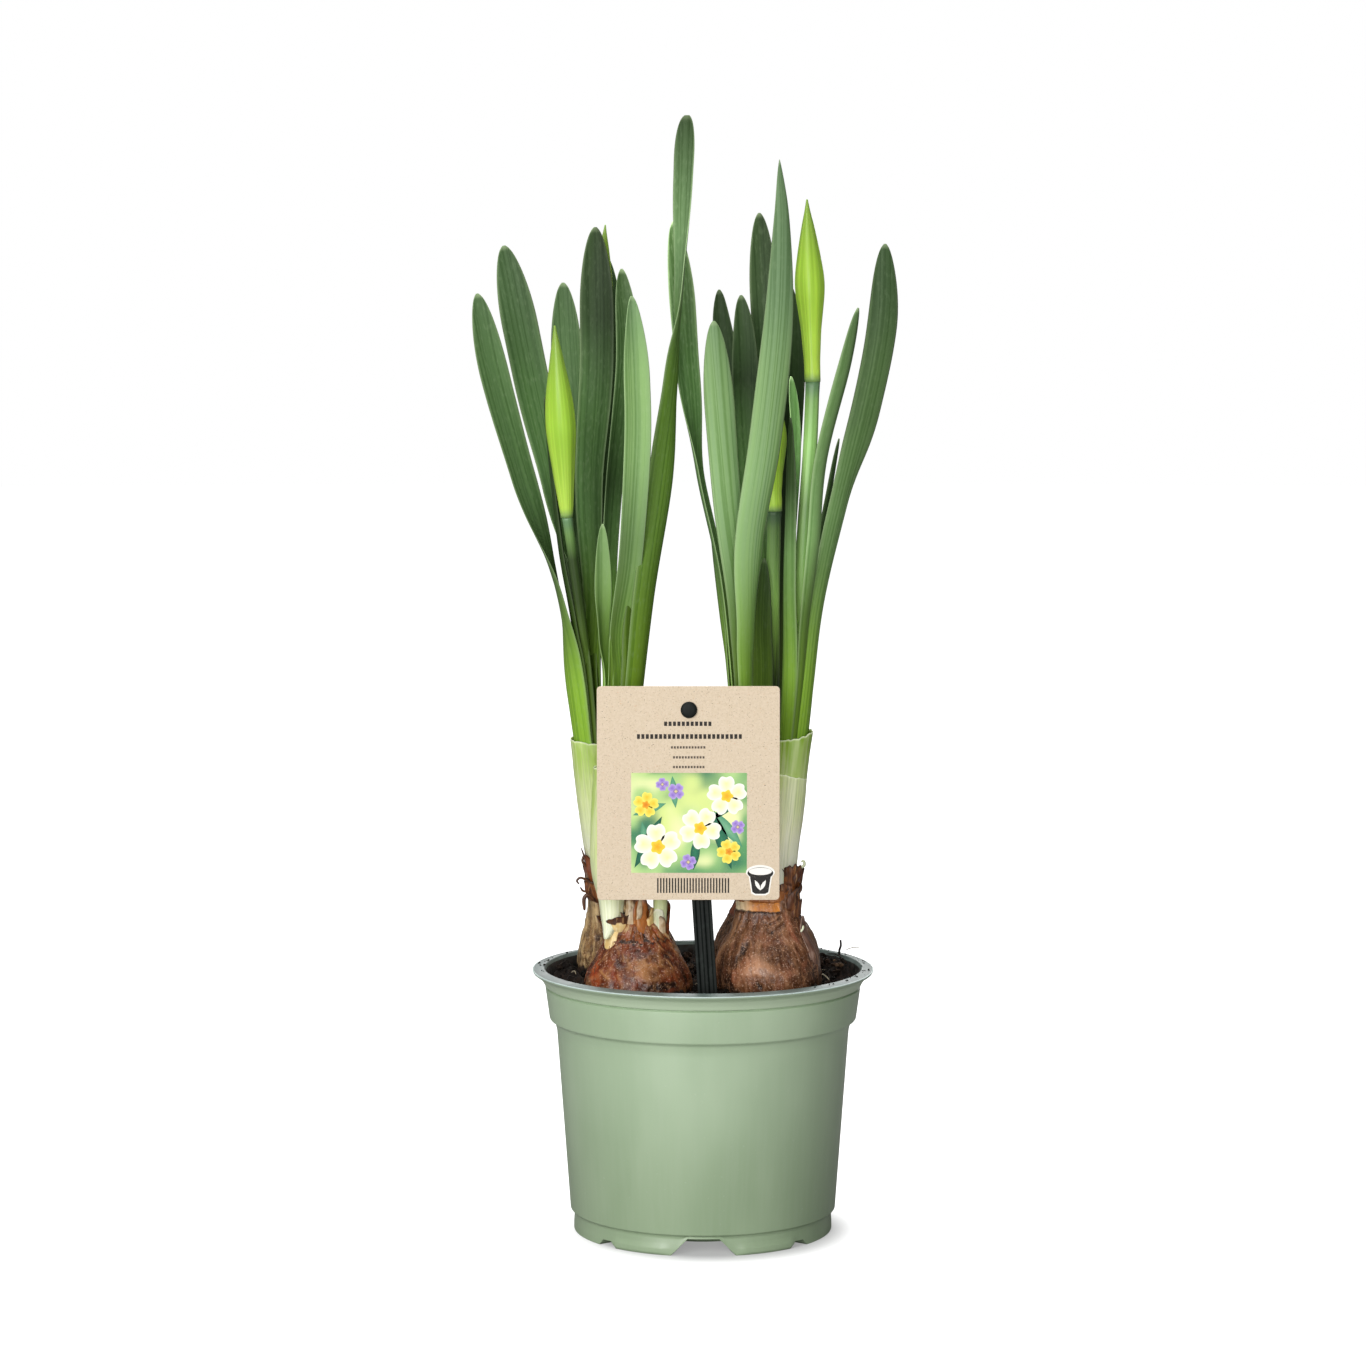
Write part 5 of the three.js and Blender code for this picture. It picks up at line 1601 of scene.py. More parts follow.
BULBS = (
    Bulb("bulb_front_left", (
        (-22.7, -22, 64, 5, 5), (-22.7, -22, 67, 9, 9), (-22.7, -22, 74, 14.5, 14.5),
        (-22.7, -22, 82, 18, 17.6), (-22.7, -22, 90, 18.8, 18), (-22.6, -22, 96, 17.4, 16),
        (-22.6, -22, 101, 14.4, 12.2), (-22.8, -22, 105, 12, 8.6), (-23, -22, 108.5, 10.6, 6.6),
        (-23, -22.2, 112, 7.6, 5.2),
    ), TunicFinish("front_left", "#220F09", "#5C2912", "#A57446", "#963E19", "#6E3F18", 0.08), 3,
         (-125, 150, 106.5), (
        Tatter(OWN, Flake.CREAM, 103.6, 113, -163, -126, 0.6, 0.2, 0.4, 0.1, rough_low=0.4, tucked=0.3),
        Tatter(OWN, Flake.TUNIC, 103, 110, -20, 180, 0.2, 0.4, 2, 0.4),
        Tatter(LEFT_SHOOT, Flake.CREAM, 109.6, 112.8, -122, 24, 1.9, 0, 0.25, 0.08, tucked=0.3),
        Tatter(LEFT_SHOOT, Flake.TUNIC, 111.6, 115, -114, 24, 2, 0.4, 0.8, 0.45, 1, tucked=0.1),
        Tatter(LEFT_SHOOT, Flake.FIBRE, 106, 114.5, 24, 235, 0.5, 0.8, 2.2, 0.4),
        Tatter(LEFT_MIDDLE, Flake.BEIGE, 106, 121.5, -165, -88, 0.4, -0.6, 1.4, 0.6, 3),
        Tatter(LEFT_MIDDLE, Flake.ORANGE, 106, 120.5, -104, -30, 0.8, 0.3, 1.6, 0.6, -5),
        Tatter(LEFT_MIDDLE, Flake.CREAM, 106, 116.5, -62, 0, 0.9, 0.2, 1.8, 0.6, 6),
        Tatter(LEFT_MIDDLE, Flake.BEIGE, 112, 122, -96, -60, 1.3, 0.3, 1.4, 0.5, 14),
        Tatter(LEFT_MIDDLE, Flake.ORANGE, 106, 120, 20, 150, 0.5, 0.5, 2.4, 0.5),
        Tatter(LEFT_MIDDLE, Flake.TUNIC, 105, 117, 110, 230, 0.8, 0.8, 2.4, 0.5),
        Tatter(SIDE_SHOOT, Flake.BEIGE, 103, 114, -110, -30, 0.5, 0.1, 1, 0.2, -5, tucked=0.4),
        Tatter(SIDE_SHOOT, Flake.PALE, 103, 117, -168, -42, 0.35, 0.1, 1, 0.1, tucked=0.4),
        Tatter(SIDE_SHOOT, Flake.RUST, 102, 118.5, -44, 115, 0.6, 0.5, 1.6, 0.35, tucked=0.5),
    ), torn=(1.6, 0.6), marks=(
        (-150, 96, -140, 93, 2.4, 0.1, 0.15, 1.2), (-158, 103, -150, 96, 1.6, 0.1, -0.05, 0.35),
        (-85, 98, -70, 95, 2.8, 0.2, 0.25), (-125, 98, -112, 94, 2.4, 0.15, 0.2, 0.5),
        (-40, 103, -25, 94, 3.2, -0.3, -0.4), (-105, 103, -65, 103.4, 1.6, -0.3, -0.25),
        (-130, 105.5, -55, 106, 2.2, 0.1, -0.2), (-120, 101, -118, 96, 1.4, -0.2, -0.2),
        (-138, 104.5, -150, 97, 0.35, 0.35, 0.5), (-125, 104.6, -100, 106, 0.35, 0.3, 0.45),
        (-100, 106, -58, 106.4, 0.35, 0.3, 0.4), (-58, 106.4, -35, 101, 0.35, 0.3, 0.4),
        (-122, 94.5, -140, 97, 0.3, 0.3, 0.5), (-50, 101, -42, 97.5, 0.3, 0.3, 0.5),
        (-95, 98, -72, 99.4, 0.35, 0.25, 0.35), (-75, 91.8, -45, 92.6, 1.2, 0, -0.6),
        (-112, 106.5, -108, 101, 0.4, 0.3, 0.2), (-78, 107, -84, 103, 0.4, 0.25, 0.3),
        (-100, 111, -104, 106.5, 0.45, 0.3, 0.15), (-93, 110, -95, 106.5, 0.4, -0.3, -0.4),
        (-86, 111, -82, 106, 0.5, 0.3, 0.12), (-76, 110.5, -71, 106.5, 0.4, -0.3, -0.4),
        (-68, 110.5, -62, 106, 0.45, 0.3, 0.12), (-116, 110.5, -120, 106, 0.5, 0.3, 0.3),
        (-108, 110, -111, 107, 0.4, -0.3, -0.35), (-56, 109, -50, 105, 0.5, 0.2, 0.1),
    )),
    Bulb("bulb_front_right", (
        (22.3, -22.1, 68, 5, 5), (22.3, -22.1, 71, 9, 9), (22.3, -22.1, 78, 14.5, 14.5),
        (22.3, -22.1, 87, 18, 17.4), (22.3, -22, 96, 18.8, 18), (22.2, -22, 103, 17, 15),
        (22.1, -21.6, 110, 13, 10.6), (22.1, -21.3, 116, 11.4, 8), (22.2, -21, 121, 11, 7),
    ), TunicFinish("front_right", "#2A160B", "#613A20", "#AE7F5C", "#90543C", "#DC8A33", 0.25, (11.5, 18.5)),
         5, (-215, -64, 116.4), (
        Tatter(OWN, Flake.ORANGE, 119, 123.5, -180, 180, 0, 0.3, 1.2, 0.2),
        Tatter(OWN, Flake.FIBRE, 113, 120, -66, 30, 0.1, 0.6, 1.8, 0.5),
        Tatter(OWN, Flake.TUNIC, 110, 119.5, 20, 170, 0.2, 0.6, 2.2, 0.4),
        Tatter(OWN, Flake.GREY, 95, 114.5, -33, 2, 0.35, 0.5, 1, 0.3, 1, tucked=0.8),
        Tatter(FIBRE_NECK, Flake.FIBRE, 113, 131.5, -170, 60, 0.3, 0.4, 1.6, 1),
        Tatter(FIBRE_NECK, Flake.FIBRE, 115, 125, -95, -5, 0.8, 0.3, 2.2, 1.1, 8),
        Tatter(FIBRE_NECK, Flake.FIBRE, 123, 132.5, -110, 30, 0.7, 0.5, 1.3, 1),
        Tatter(FIBRE_NECK, Flake.TUNIC, 112, 129, 40, 240, 0.3, 0.6, 2.4, 0.5),
    ), twist=0.6, crumpled=0.5, torn=(0.5, 0.15), marks=(
        (-108, 114, -121, 104, 1.6, -0.45, -0.25), (-121, 104, -143, 93, 2.4, -0.5, -0.4),
        (-158, 112, -168, 96, 3.2, 0.2, 0.32), (-152, 99, -158, 91, 1.3, -0.3, -0.4),
        (-130, 95, -105, 99, 3.2, 0.3, 0.25, 0.55), (-105, 98, -68, 96, 3.2, 0.2, 0.2, 0.45),
        (-87, 110, -75, 103, 3.2, -0.2, -0.25), (-58, 115, -45, 107, 2.2, 0.2, 0.05, 0.7),
        (-30, 104, -33, 92, 2.8, -0.2, -0.35), (-95, 111, -103, 104, 1.1, 0.25, 0.2),
        (-146, 115, -158, 104, 1, 0.3, 0.25), (-127, 115, -141, 100, 1.2, -0.3, -0.25),
        (-135, 115, -148, 104, 0.9, 0.25, 0.2), (-65, 110, -58, 97, 1.4, 0.25, 0.15),
        (-69, 115.8, -90, 113.2, 0.3, 0.3, 0.25), (-64, 113.8, -88, 111, 0.3, 0.3, 0.22),
        (-60, 111.4, -84, 108.4, 0.3, 0.3, 0.2), (-68, 114.9, -88, 112.2, 0.3, -0.3, -0.3),
        (-62, 112.6, -86, 109.8, 0.3, -0.3, -0.3), (-101, 93.5, -99, 92.8, 0.8, -0.4, -0.8),
        (-137, 93, -133, 91.5, 1.2, 0, -0.6), (-80, 101, -60, 93, 1.2, -0.2, -0.15),
    )),
    Bulb("bulb_back_left", (
        (-26, 22, 66, 5, 5), (-26, 22, 69, 9, 9), (-26, 22, 76, 14.5, 14.5), (-26, 22, 84, 17.8, 17.4),
        (-26, 22, 92, 18.6, 17.8), (-26.6, 21.8, 99, 16.6, 15.4), (-28, 21.4, 106, 13.4, 11),
        (-31, 20.4, 113, 9.6, 8), (-34, 19.4, 121, 7, 6.6), (-35.6, 18.8, 126, 6, 6),
    ), TunicFinish("back_left", "#38251A", "#866540", "#CBAF7E", "#7E5C38", "#8C7A55", 0.7), 8,
         (120, 179, 98), (
        Tatter(OWN, Flake.TUNIC, 104, 113, -110, 130, 0.3, 0.5, 2.2, 0.4),
        Tatter(BACK_LEFT_NECK, Flake.FIBRE, 111, 126, 120, 200, 0.6, 0.9, 2.2, 0.8),
        Tatter(BACK_LEFT_NECK, Flake.RUST, 117, 132, 150, 245, 0.5, 0.6, 2.6, 0.8),
        Tatter(BACK_LEFT_NECK, Flake.FIBRE, 112, 122, 170, 270, 0.8, 1.2, 2.4, 0.9),
        Tatter(BACK_LEFT_NECK, Flake.FIBRE, 112, 128, -90, 40, 0.4, 0.7, 2.4, 0.5),
        Tatter(BACK_LEFT_NECK, Flake.TUNIC, 111, 127, 20, 130, 0.4, 0.8, 2.4, 0.5),
    )),
    Bulb("bulb_back_right", (
        (22.5, 22, 66, 5, 5), (22.5, 22, 69, 9, 9), (22.5, 22, 76, 14.5, 14.5), (22.5, 22, 85, 18, 17.6),
        (22.5, 22, 94, 19, 18), (22.4, 21.8, 101, 17, 15.4), (22, 21.4, 108, 13, 11.4),
        (21.4, 20.6, 114, 9, 8.4), (21, 20.2, 117.5, 7.6, 7.6),
    ), TunicFinish("back_right", "#26180F", "#553823", "#85613F", "#6A4326", "#7A5A3A", 0.5), 12,
         (40, 140, 104), (
        Tatter(OWN, Flake.RUST, 107, 115, -180, 180, 0.2, 0.5, 2, 0.4),
        Tatter(BACK_RIGHT_NECK, Flake.FIBRE, 111, 122, -180, -50, 0.4, 0.8, 2.4, 0.5),
        Tatter(BACK_RIGHT_NECK, Flake.FIBRE, 111, 124, -60, 80, 0.4, 0.8, 2.4, 0.5),
        Tatter(BACK_RIGHT_NECK, Flake.TUNIC, 110, 123, 70, 190, 0.4, 0.8, 2.4, 0.5),
    )),
)


class Bulbs:
    """The four bulbs, with the loose bits on their necks. Each bit is its line's points and its radius."""

    SHREDS = (
        (((-38.6, 12.6, 114.2), (-40.6, 12, 116.4), (-42, 11.8, 115.2), (-41.9, 11.8, 111)), 0.75),
        (((-40.2, 14, 121), (-43.2, 13.4, 122.4), (-44.6, 13.2, 121.4), (-43.8, 13, 120.2)), 0.45),
        (((-40.4, 13, 117.4), (-42.4, 12.6, 117.8), (-43.4, 12.4, 119.2)), 0.4),
        (((-41, 15, 126), (-42.6, 14.6, 128), (-42.2, 14.4, 130.4)), 0.5),
        (((31.8, -22, 121), (33.6, -22.2, 123.2), (33.9, -22.2, 125.4)), 0.5),
        (((33.6, -18, 96), (36.2, -17, 101), (35.6, -17, 106)), 0.3),
        (((-34.6, -26, 101), (-36.6, -28, 98.6), (-37.6, -30, 95.4)), 0.35),
    )
    CURLS = (
        (((31.6, -22.6, 131.4), (33.4, -22.6, 131.2), (34.8, -22.4, 131.9), (34.7, -22.2, 133.4),
          (33.8, -22, 133.2)), 0.55),
        (((33.4, -31.8, 110.2), (34.1, -31.6, 111.2), (34.3, -31.4, 112.4)), 0.42),
    )

    def dress(self) -> None:
        """Makes each bulb's pieces, and the curled bits that stand away from the necks."""
        flakes = {kind: kind.value.material() for kind in Flake}
        for bulb in BULBS:
            bulb.dress(flakes)
        for name, bits, kind in (("neck_shreds", self.SHREDS, Flake.TUNIC),
                                 ("pale_curls", self.CURLS, Flake.PALE)):
            make_piece(name, join_skins([strand(*bit) for bit in bits]), [flakes[kind]])


# Sheaths

@dataclass(frozen=True)
class SheathFinish:
    """Fresh membrane round a shoot: whitish at the foot, yellow-green and thin over the leaves above."""

    name: str
    foot: str
    middle: str
    top: str
    band: str

    def material(self) -> Material:
        """Moist and silky, with lengthwise folds and a paler torn edge. A little light passes through."""
        recipe = Recipe("fresh_sheath_membrane_" + self.name, "strap", "rise", "torn")
        strap, rise, torn = recipe.values
        fold, fine, patch = recipe.grains(strap, ((1.5, 45, 9), 2), ((0.5, 30, 9), 2), ((4, 12, 9), 2))
        colour = recipe.paint(
            self.foot, Coat(rise, self.middle, 0, 0.55), Coat(rise, self.top, 0.45, 0.95),
            Coat(fold, self.band, 0.42, 0.66, 0, 0.5), Coat(fine, "#A5B470", 0.38, 0.56, 0.4, 0),
            Coat(patch, self.band, 0.4, 0.65, 0, 0.25), Coat(torn, "#E4E8CB"))
        return recipe.finish({"IOR": 1.42, "Subsurface Weight": 0.2, "Subsurface Radius": (1.0, 1.0, 0.6),
                              "Subsurface Scale": 1.2 * MM}, colour, 0.42,
                             (fold, 0.35, 0.6), (fine, 0.12, 0.6))


class SheathTone(Enum):
    """The left clump's sheaths are yellower than the right clump's. All three tones are painted lighter than
    the membranes' own colour, as painted light where the card shades them, the outer one most.
    """

    LEFT = SheathFinish("left", "#EEEFD6", "#D6E49C", "#A8CB52", "#E2EAB6")
    RIGHT = SheathFinish("right", "#F4F4DE", "#C3D780", "#8FB53A", "#D4E2A6")
    OUTER = SheathFinish("outer", "#FFFFF0", "#FAFDCC", "#DEF0A0", "#FFFFE0")


@dataclass(frozen=True)
class Sheath:
    """One thin tube round a shoot, with a torn slanting top.

    Rows run from the bulb's neck up: the centre and the half sizes along and across the bundle. The top's
    height is the last row's, plus the slant to each side, whose low point is at the given angle.
    """

    name: str
    angle: float
    rows: Rows
    tone: SheathTone
    slant: float
    low_side: float
    seed: int
    teeth: float = 0.2
    stands_for: bool = True
    out: float = 0.0

    AROUND = 100
    ROWS = 64
    GIRTH = 6.0
    THICKNESS = 0.25

    def build(self) -> Skin:
        """The tube as a closed thin sheet that overlaps itself a little at its back."""
        form = Upright(self.rows, self.angle)
        start = math.radians(90 - self.angle)
        turn = start + np.linspace(0, TURN * 1.02, self.AROUND)
        facing = turn + math.radians(self.angle)
        arc = stack(np.cos(facing) * self.GIRTH, np.sin(facing) * self.GIRTH)
        top = self.rows[-1][2] - self.slant * (1 + np.cos(facing - math.radians(self.low_side))) / 2
        top += 0.5 * lumps(arc, 3.2, self.seed, 2) + self.teeth * lumps(arc, 0.8, self.seed + 1, 1)
        bottom = self.rows[0][2]
        rise = np.linspace(0, 1, self.ROWS)[:, None]
        z = bottom + (top - bottom) * rise
        around = np.broadcast_to(turn, z.shape)
        folds, crinkle = (lumps(stack(*arc.T, z * upright), size, self.seed + step, 2)
                          for upright, size, step in ((0.06, 2.2, 2), (0.5, 2.6, 3)))
        out = self.out + 0.18 * (around - start) / TURN + 0.22 * folds + 0.1 * crinkle
        points = form.points(around, z, out + 0.06 * smoothstep((rise - 0.93) / 0.07))
        share = (z - bottom) / (self.rows[-1][2] - bottom)
        return sheet(points, self.THICKNESS, {"strap": stack(around * self.GIRTH, z, self.seed * 3.0),
                                              "rise": share, "torn": 0.7 * smoothstep((z - top + 0.5) / 0.4)})


SHEATHS = (
    Sheath("sheath_back_left", -45, ((-35.6, 18.8, 126.4, 5.7, 5.7), (-36, 18.5, 130.4, 5.7, 6),
           (-38, 17.4, 150, 6.3, 6.8), (-40.1, 16.2, 172.5, 6.4, 7.1)), SheathTone.LEFT, 2, -60, 21),
    Sheath("sheath_front_left", 45, ((-33.4, -27.6, 107.2, 0.9, 0.9), (-32.4, -25.8, 110, 2.2, 2.2),
           (-31.7, -23.4, 114, 3.6, 3.6), (-31.7, -21.9, 119, 4.3, 4.3), (-32.8, -21.3, 128.4, 5.5, 5.9),
           (-32.4, -21, 146, 6.3, 6.9), (-30.4, -20.1, 166, 6.9, 7.8)), SheathTone.LEFT, 2.5, 0, 23),
    Sheath("sheath_side", 0, ((-15.2, -22.4, 106, 2, 2), (-15, -22, 112, 2.2, 2.2),
           (-14.8, -21.5, 122, 2.4, 2.4), (-14.7, -21.2, 136, 2.5, 2.5)), SheathTone.LEFT, 2, 0, 25, 0.2),
    Sheath("sheath_front_middle", 64, ((16.6, -21, 120.4, 6.1, 4.5), (15.3, -20.2, 143, 6.5, 4.9),
           (13.9, -19.1, 168, 7, 5.3)), SheathTone.RIGHT, 2, -20, 27),
    Sheath("sheath_front_right", 90, ((26.6, -20.8, 121.4, 4.9, 4.6), (26.6, -20.5, 132, 5.9, 5.3),
           (28.6, -19.4, 154, 6.5, 6), (31.2, -18.2, 178.5, 7.2, 6.6)), SheathTone.RIGHT, 3, -150, 29, 0.3),
    Sheath("sheath_back_right", 20, ((21, 20, 117.9, 6.5, 6.5), (21.4, 19.3, 143, 6.9, 6.9),
           (22, 18.6, 170, 7.5, 7.5)), SheathTone.RIGHT, 3, -90, 31),
    Sheath("outer_sheath_right", 90, ((26.6, -20.8, 121.4, 4.9, 4.6), (26.6, -20.5, 132, 5.9, 5.3),
           (28.6, -19.4, 154, 6.5, 6), (29.4, -19.1, 164.5, 6.7, 6.1)), SheathTone.OUTER, 3, 10, 33, 0.2,
           False, 0.45),
)


class Sheaths:
    """The membranes round the shoots."""

    def dress(self) -> None:
        """Makes a piece of each sheath."""
        finishes = {tone: tone.value.material() for tone in SheathTone}
        for sheath in SHEATHS:
            make_piece(f"{sheath.name}_membrane", sheath.build(), [finishes[sheath.tone]],
                       [sheath.name] if sheath.stands_for else [])


# Peat

@dataclass(frozen=True)
class PeatFinish:
    """Moist milled peat: near black, matt, with brown fibres and a few pale grains."""

    dark: str = "#120D0A"
    brown: str = "#241811"

    def ground(self) -> Material:
        """Loose grains of many sizes, which throw small shadows on each other."""
        recipe = Recipe("moist_milled_peat")
        lump, grit = recipe.grains(recipe.millimetres(), (2.4, 4), (0.7, 3))
        colour = recipe.paint(self.dark, Coat(lump, self.brown, 0.42, 0.66),
                              Coat(grit, "#4B3424", 0.62, 0.72, 0, 0.5))
        return recipe.finish({"Specular IOR Level": 0.2}, colour, 0.95, (lump, 0.9, 0.9), (grit, 0.5, 0.9))

    def crumb(self) -> Material:
        """Single crumbs, each in its own brown."""
        recipe = Recipe("loose_peat_crumb", "tint")
        [grit] = recipe.grains(recipe.millimetres(), (0.5, 3))
        stops = ((0.0, "#0E0A08"), (0.5, "#1D140E"), (0.88, "#34241A"), (1.0, "#6D5238"))
        tint = recipe.add("ValToRGB", {"stops": stops, 0: recipe.values[0]})
        colour = recipe.paint(tint, Coat(grit, "#0C0906", 0.35, 0.55, 0.6, 0))
        return recipe.finish({"Specular IOR Level": 0.2}, colour, 0.93, (grit, 0.4, 0.9))

    def fibre(self, pale: bool) -> Material:
        """Thin roots and stalks in the peat, dull and dry beside the moist crumbs.

        Args:
            pale: True for the bleached ones, False for the dark ones.

        Returns:
            The material.
        """
        recipe = Recipe("bleached_root_fibre" if pale else "dark_peat_fibre")
        light, dark = ("#A9A08A", "#80735C") if pale else ("#241812", "#0F0A08")
        [patch] = recipe.grains(recipe.millimetres(), (0.8, 2))
        return recipe.finish({}, recipe.paint(light, Coat(patch, dark, 0.35, 0.65)), 0.8, (patch, 0.2, 0.6))


@dataclass
class PeatBed:
    """The peat that fills the pot, with its crumbs, fibres and twig.

    heap is the heap's middle in x and y, its half width and its rise. under is the radius and height of the
    bed's underside and sides, ring by ring. A twig is its line's points, its radius and its sides.
    """

    top: float = 87.0
    roughness: float = 1.1
    edge: float = 53.4
    rings: int = 105
    around: int = 300
    crumbs: int = 1150
    lip_crumbs: int = 70
    fibres: int = 70
    pale_fibres: int = 14
    heap: tuple[float, float, float, float] = (47.0, 20.0, 16.0, 4.2)
    under: tuple[tuple[float, float], ...] = (
        (0.5, 1.6), (24.3, 1.6), (26.2, 4.6), (36, 5.2), (38, 7.6),
        (44, 8.6), (45.2, 9.2), (50, 71.5), (52.4, 75.9), (53.4, 83.5),
    )
    dark_twigs: tuple[tuple, ...] = (
        (((49.2, 25, 92), (49, 25, 94.4), (49.5, 25, 96.2), (49.4, 25, 98.3)), 0.42, 8, 0.8),
        (((-13.5, -30, 88.5), (-12.6, -30.5, 91), (-12.9, -30.2, 93.4)), 0.3, 7),
        (((50.5, 17, 92), (48, 21, 93.6), (44.6, 24, 93.4)), 0.3, 7),
    )
    pale_twigs: tuple[tuple, ...] = (
        (((51.4, 30.4, 93.6), (53, 29.6, 94.5), (55.2, 29.2, 94.9), (56.6, 29, 94.7)), 0.16, 6),
        (((41.6, -1.5, 90.5), (42.8, -3.4, 90.2), (44.4, -5.6, 88.9)), 0.26, 6),
        (((-46.5, 2, 90.3), (-45.2, 0.4, 91.2), (-44.6, -1.4, 90.3)), 0.18, 6),
    )

    def level(self, x: Array | float, y: Array | float) -> Array | float:
        """Finds the height of the peat without its crumbs, with the heap at the back right.

        Args:
            x: places across.
            y: places front to back.

        Returns:
            The height at each.
        """
        waves = np.sin(x * 0.31 + 1.7) * np.cos(y * 0.27) + 0.5 * np.sin(x * 0.83 - y * 0.61)
        middle_x, middle_y, spread, rise = self.heap
        heap = rise * np.exp(-2 * (np.hypot(x - middle_x, y - middle_y) / spread) ** 2)
        left = 1.8 * np.exp(-(np.hypot(x + 46, y - 12) / 12) ** 2)
        return self.top + self.roughness * waves + heap + left

    def build(self) -> Skin:
        """The bed, down to the pot's floor, as a closed skin."""
        turn = turns(self.around)
        rings = [stack(radius * np.cos(turn), radius * np.sin(turn), z) for radius, z in self.under]
        for radius in self.edge * np.sqrt(np.linspace(1, 0.0004, self.rings)):
            flat = stack(radius * np.cos(turn), radius * np.sin(turn))
            crumbs = sum(height * lumps(flat, size, seed, 1) for height, size, seed in (
                (1.5, 6.5, 61), (1.15, 2.6, 62), (0.75, 1.25, 63), (0.35, 0.6, 64)))
            rings.append(stack(*flat.T, self.level(*flat.T) + crumbs))
        return loft(np.array(rings))

    def scatter(self, rng: np.random.Generator) -> Skin:
        """Strews loose crumbs on the bed, and some on the lip.

        Args:
            rng: the source of their places and sizes.

        Returns:
            The crumbs in one skin, each with its tint.
        """
        shape, faces = self._ball()
        skins = []
        for _ in range(self.crumbs):
            radius = (self.edge - 0.5) * math.sqrt(rng.random())
            turn = TURN * rng.random()
            x, y = radius * math.cos(turn), radius * math.sin(turn)
            size = 0.32 + 1.45 * rng.random() ** 2.6
            z = float(self.level(x, y)) + 0.9 + 0.6 * rng.random()
            skins.append(self._crumb(shape, faces, (x, y, z), size, rng, rng.random() ** 1.3))
        for _ in range(self.lip_crumbs):
            turn = math.radians(rng.choice((25, 40, 150, -20, -160, 100)) + 22 * rng.standard_normal())
            radius = 55.2 + 3.4 * rng.random()
            place = (radius * math.cos(turn), radius * math.sin(turn), 93.25 - 0.24 * (radius - 55.8))
            skins.append(self._crumb(shape, faces, place, 0.16 + 0.3 * rng.random() ** 2, rng, 0.5))
        return join_skins(skins)

    @staticmethod
    def _ball() -> tuple[Array, list[tuple[int, ...]]]:
        """A small ball of 42 points and 80 faces: an icosahedron, each face cut in four."""
        golden = (1 + 5 ** 0.5) / 2
        corners = [np.roll((short, long, 0.0), roll) for roll in range(3)
                   for long in (golden, -golden) for short in (-1, 1)]
        points = [unit(corner) for corner in corners]
        faces = [(0, 11, 5), (0, 5, 1), (0, 1, 7), (0, 7, 10), (0, 10, 11), (1, 5, 9), (5, 11, 4),
                 (11, 10, 2), (10, 7, 6), (7, 1, 8), (3, 9, 4), (3, 4, 2), (3, 2, 6), (3, 6, 8), (3, 8, 9),
                 (4, 9, 5), (2, 4, 11), (6, 2, 10), (8, 6, 7), (9, 8, 1)]
        halves: dict[tuple[int, ...], int] = {}
        finer = []
        for a, b, c in faces:
            for pair in ((a, b), (b, c), (c, a)):
                if tuple(sorted(pair)) not in halves:
                    halves[tuple(sorted(pair))] = len(points)
                    points.append(unit(points[pair[0]] + points[pair[1]]))
            ab, bc, ca = (halves[tuple(sorted(pair))] for pair in ((a, b), (b, c), (c, a)))
            finer.extend([(a, ab, ca), (b, bc, ab), (c, ca, bc), (ab, bc, ca)])
        return np.array(points), finer

    @staticmethod
    def _crumb(shape: Array, faces: list, place: Point, size: float, rng: np.random.Generator,
               tint: float) -> Skin:
        """Makes one crumb from the ball, squeezed, dented and turned.

        Args:
            shape: the ball's points.
            faces: the ball's faces.
            place: the crumb's middle.
            size: its mean radius.
            rng: the source of its dents and its turn.
            tint: how light it is.

        Returns:
            The closed skin.
        """
        stretch = rng.uniform(0.55, 1.25, 3)
        dents = 1 + 0.28 * rng.standard_normal(len(shape)).clip(-1.4, 1.4)
        turned = np.linalg.qr(rng.standard_normal((3, 3)))[0]
        turned *= np.linalg.det(turned)
        points = (shape * dents[:, None] * stretch * size) @ turned.T + np.array(place)
        return Skin(points, faces, {"tint": np.full(len(points), tint)})

    def roots(self, rng: np.random.Generator, count: int) -> list[Skin]:
        """Strews curved fibres in and on the bed.

        Args:
            rng: the source of their places and bends.
            count: how many there are.

        Returns:
            Their skins.
        """
        skins = []
        for _ in range(count):
            radius, turn = 50 * math.sqrt(rng.random()), TURN * rng.random()
            x, y = radius * math.cos(turn), radius * math.sin(turn)
            way, length = TURN * rng.random(), rng.uniform(2.0, 6.5)
            line = []
            for step in range(4):
                far, bend = length * (step / 3 - 0.5), 0.5 * rng.standard_normal()
                px = x + far * math.cos(way) - bend * math.sin(way)
                py = y + far * math.sin(way) + bend * math.cos(way)
                z = float(self.level(px, py)) + 1.2 + (0.9 + 0.5 * rng.random()) * (step % 3 > 0)
                line.append((px, py, z))
            skins.append(strand(line, rng.uniform(0.09, 0.24), 6))
        return skins

    def dress(self, finish: PeatFinish) -> None:
        """Makes the pieces of the peat.

        Args:
            finish: the peat.
        """
        rng = np.random.default_rng(SEED)
        make_piece("peat_bed", self.build(), [finish.ground()], ["soil"])
        make_piece("peat_crumbs", self.scatter(rng), [finish.crumb()], smooth=False)
        for name, count, twigs, pale in (("dark_fibres", self.fibres, self.dark_twigs, False),
                                         ("pale_fibres", self.pale_fibres, self.pale_twigs, True)):
            skins = self.roots(rng, count) + [strand(*twig) for twig in twigs]
            make_piece(name, join_skins(skins), [finish.fibre(pale)])


# Card and stake

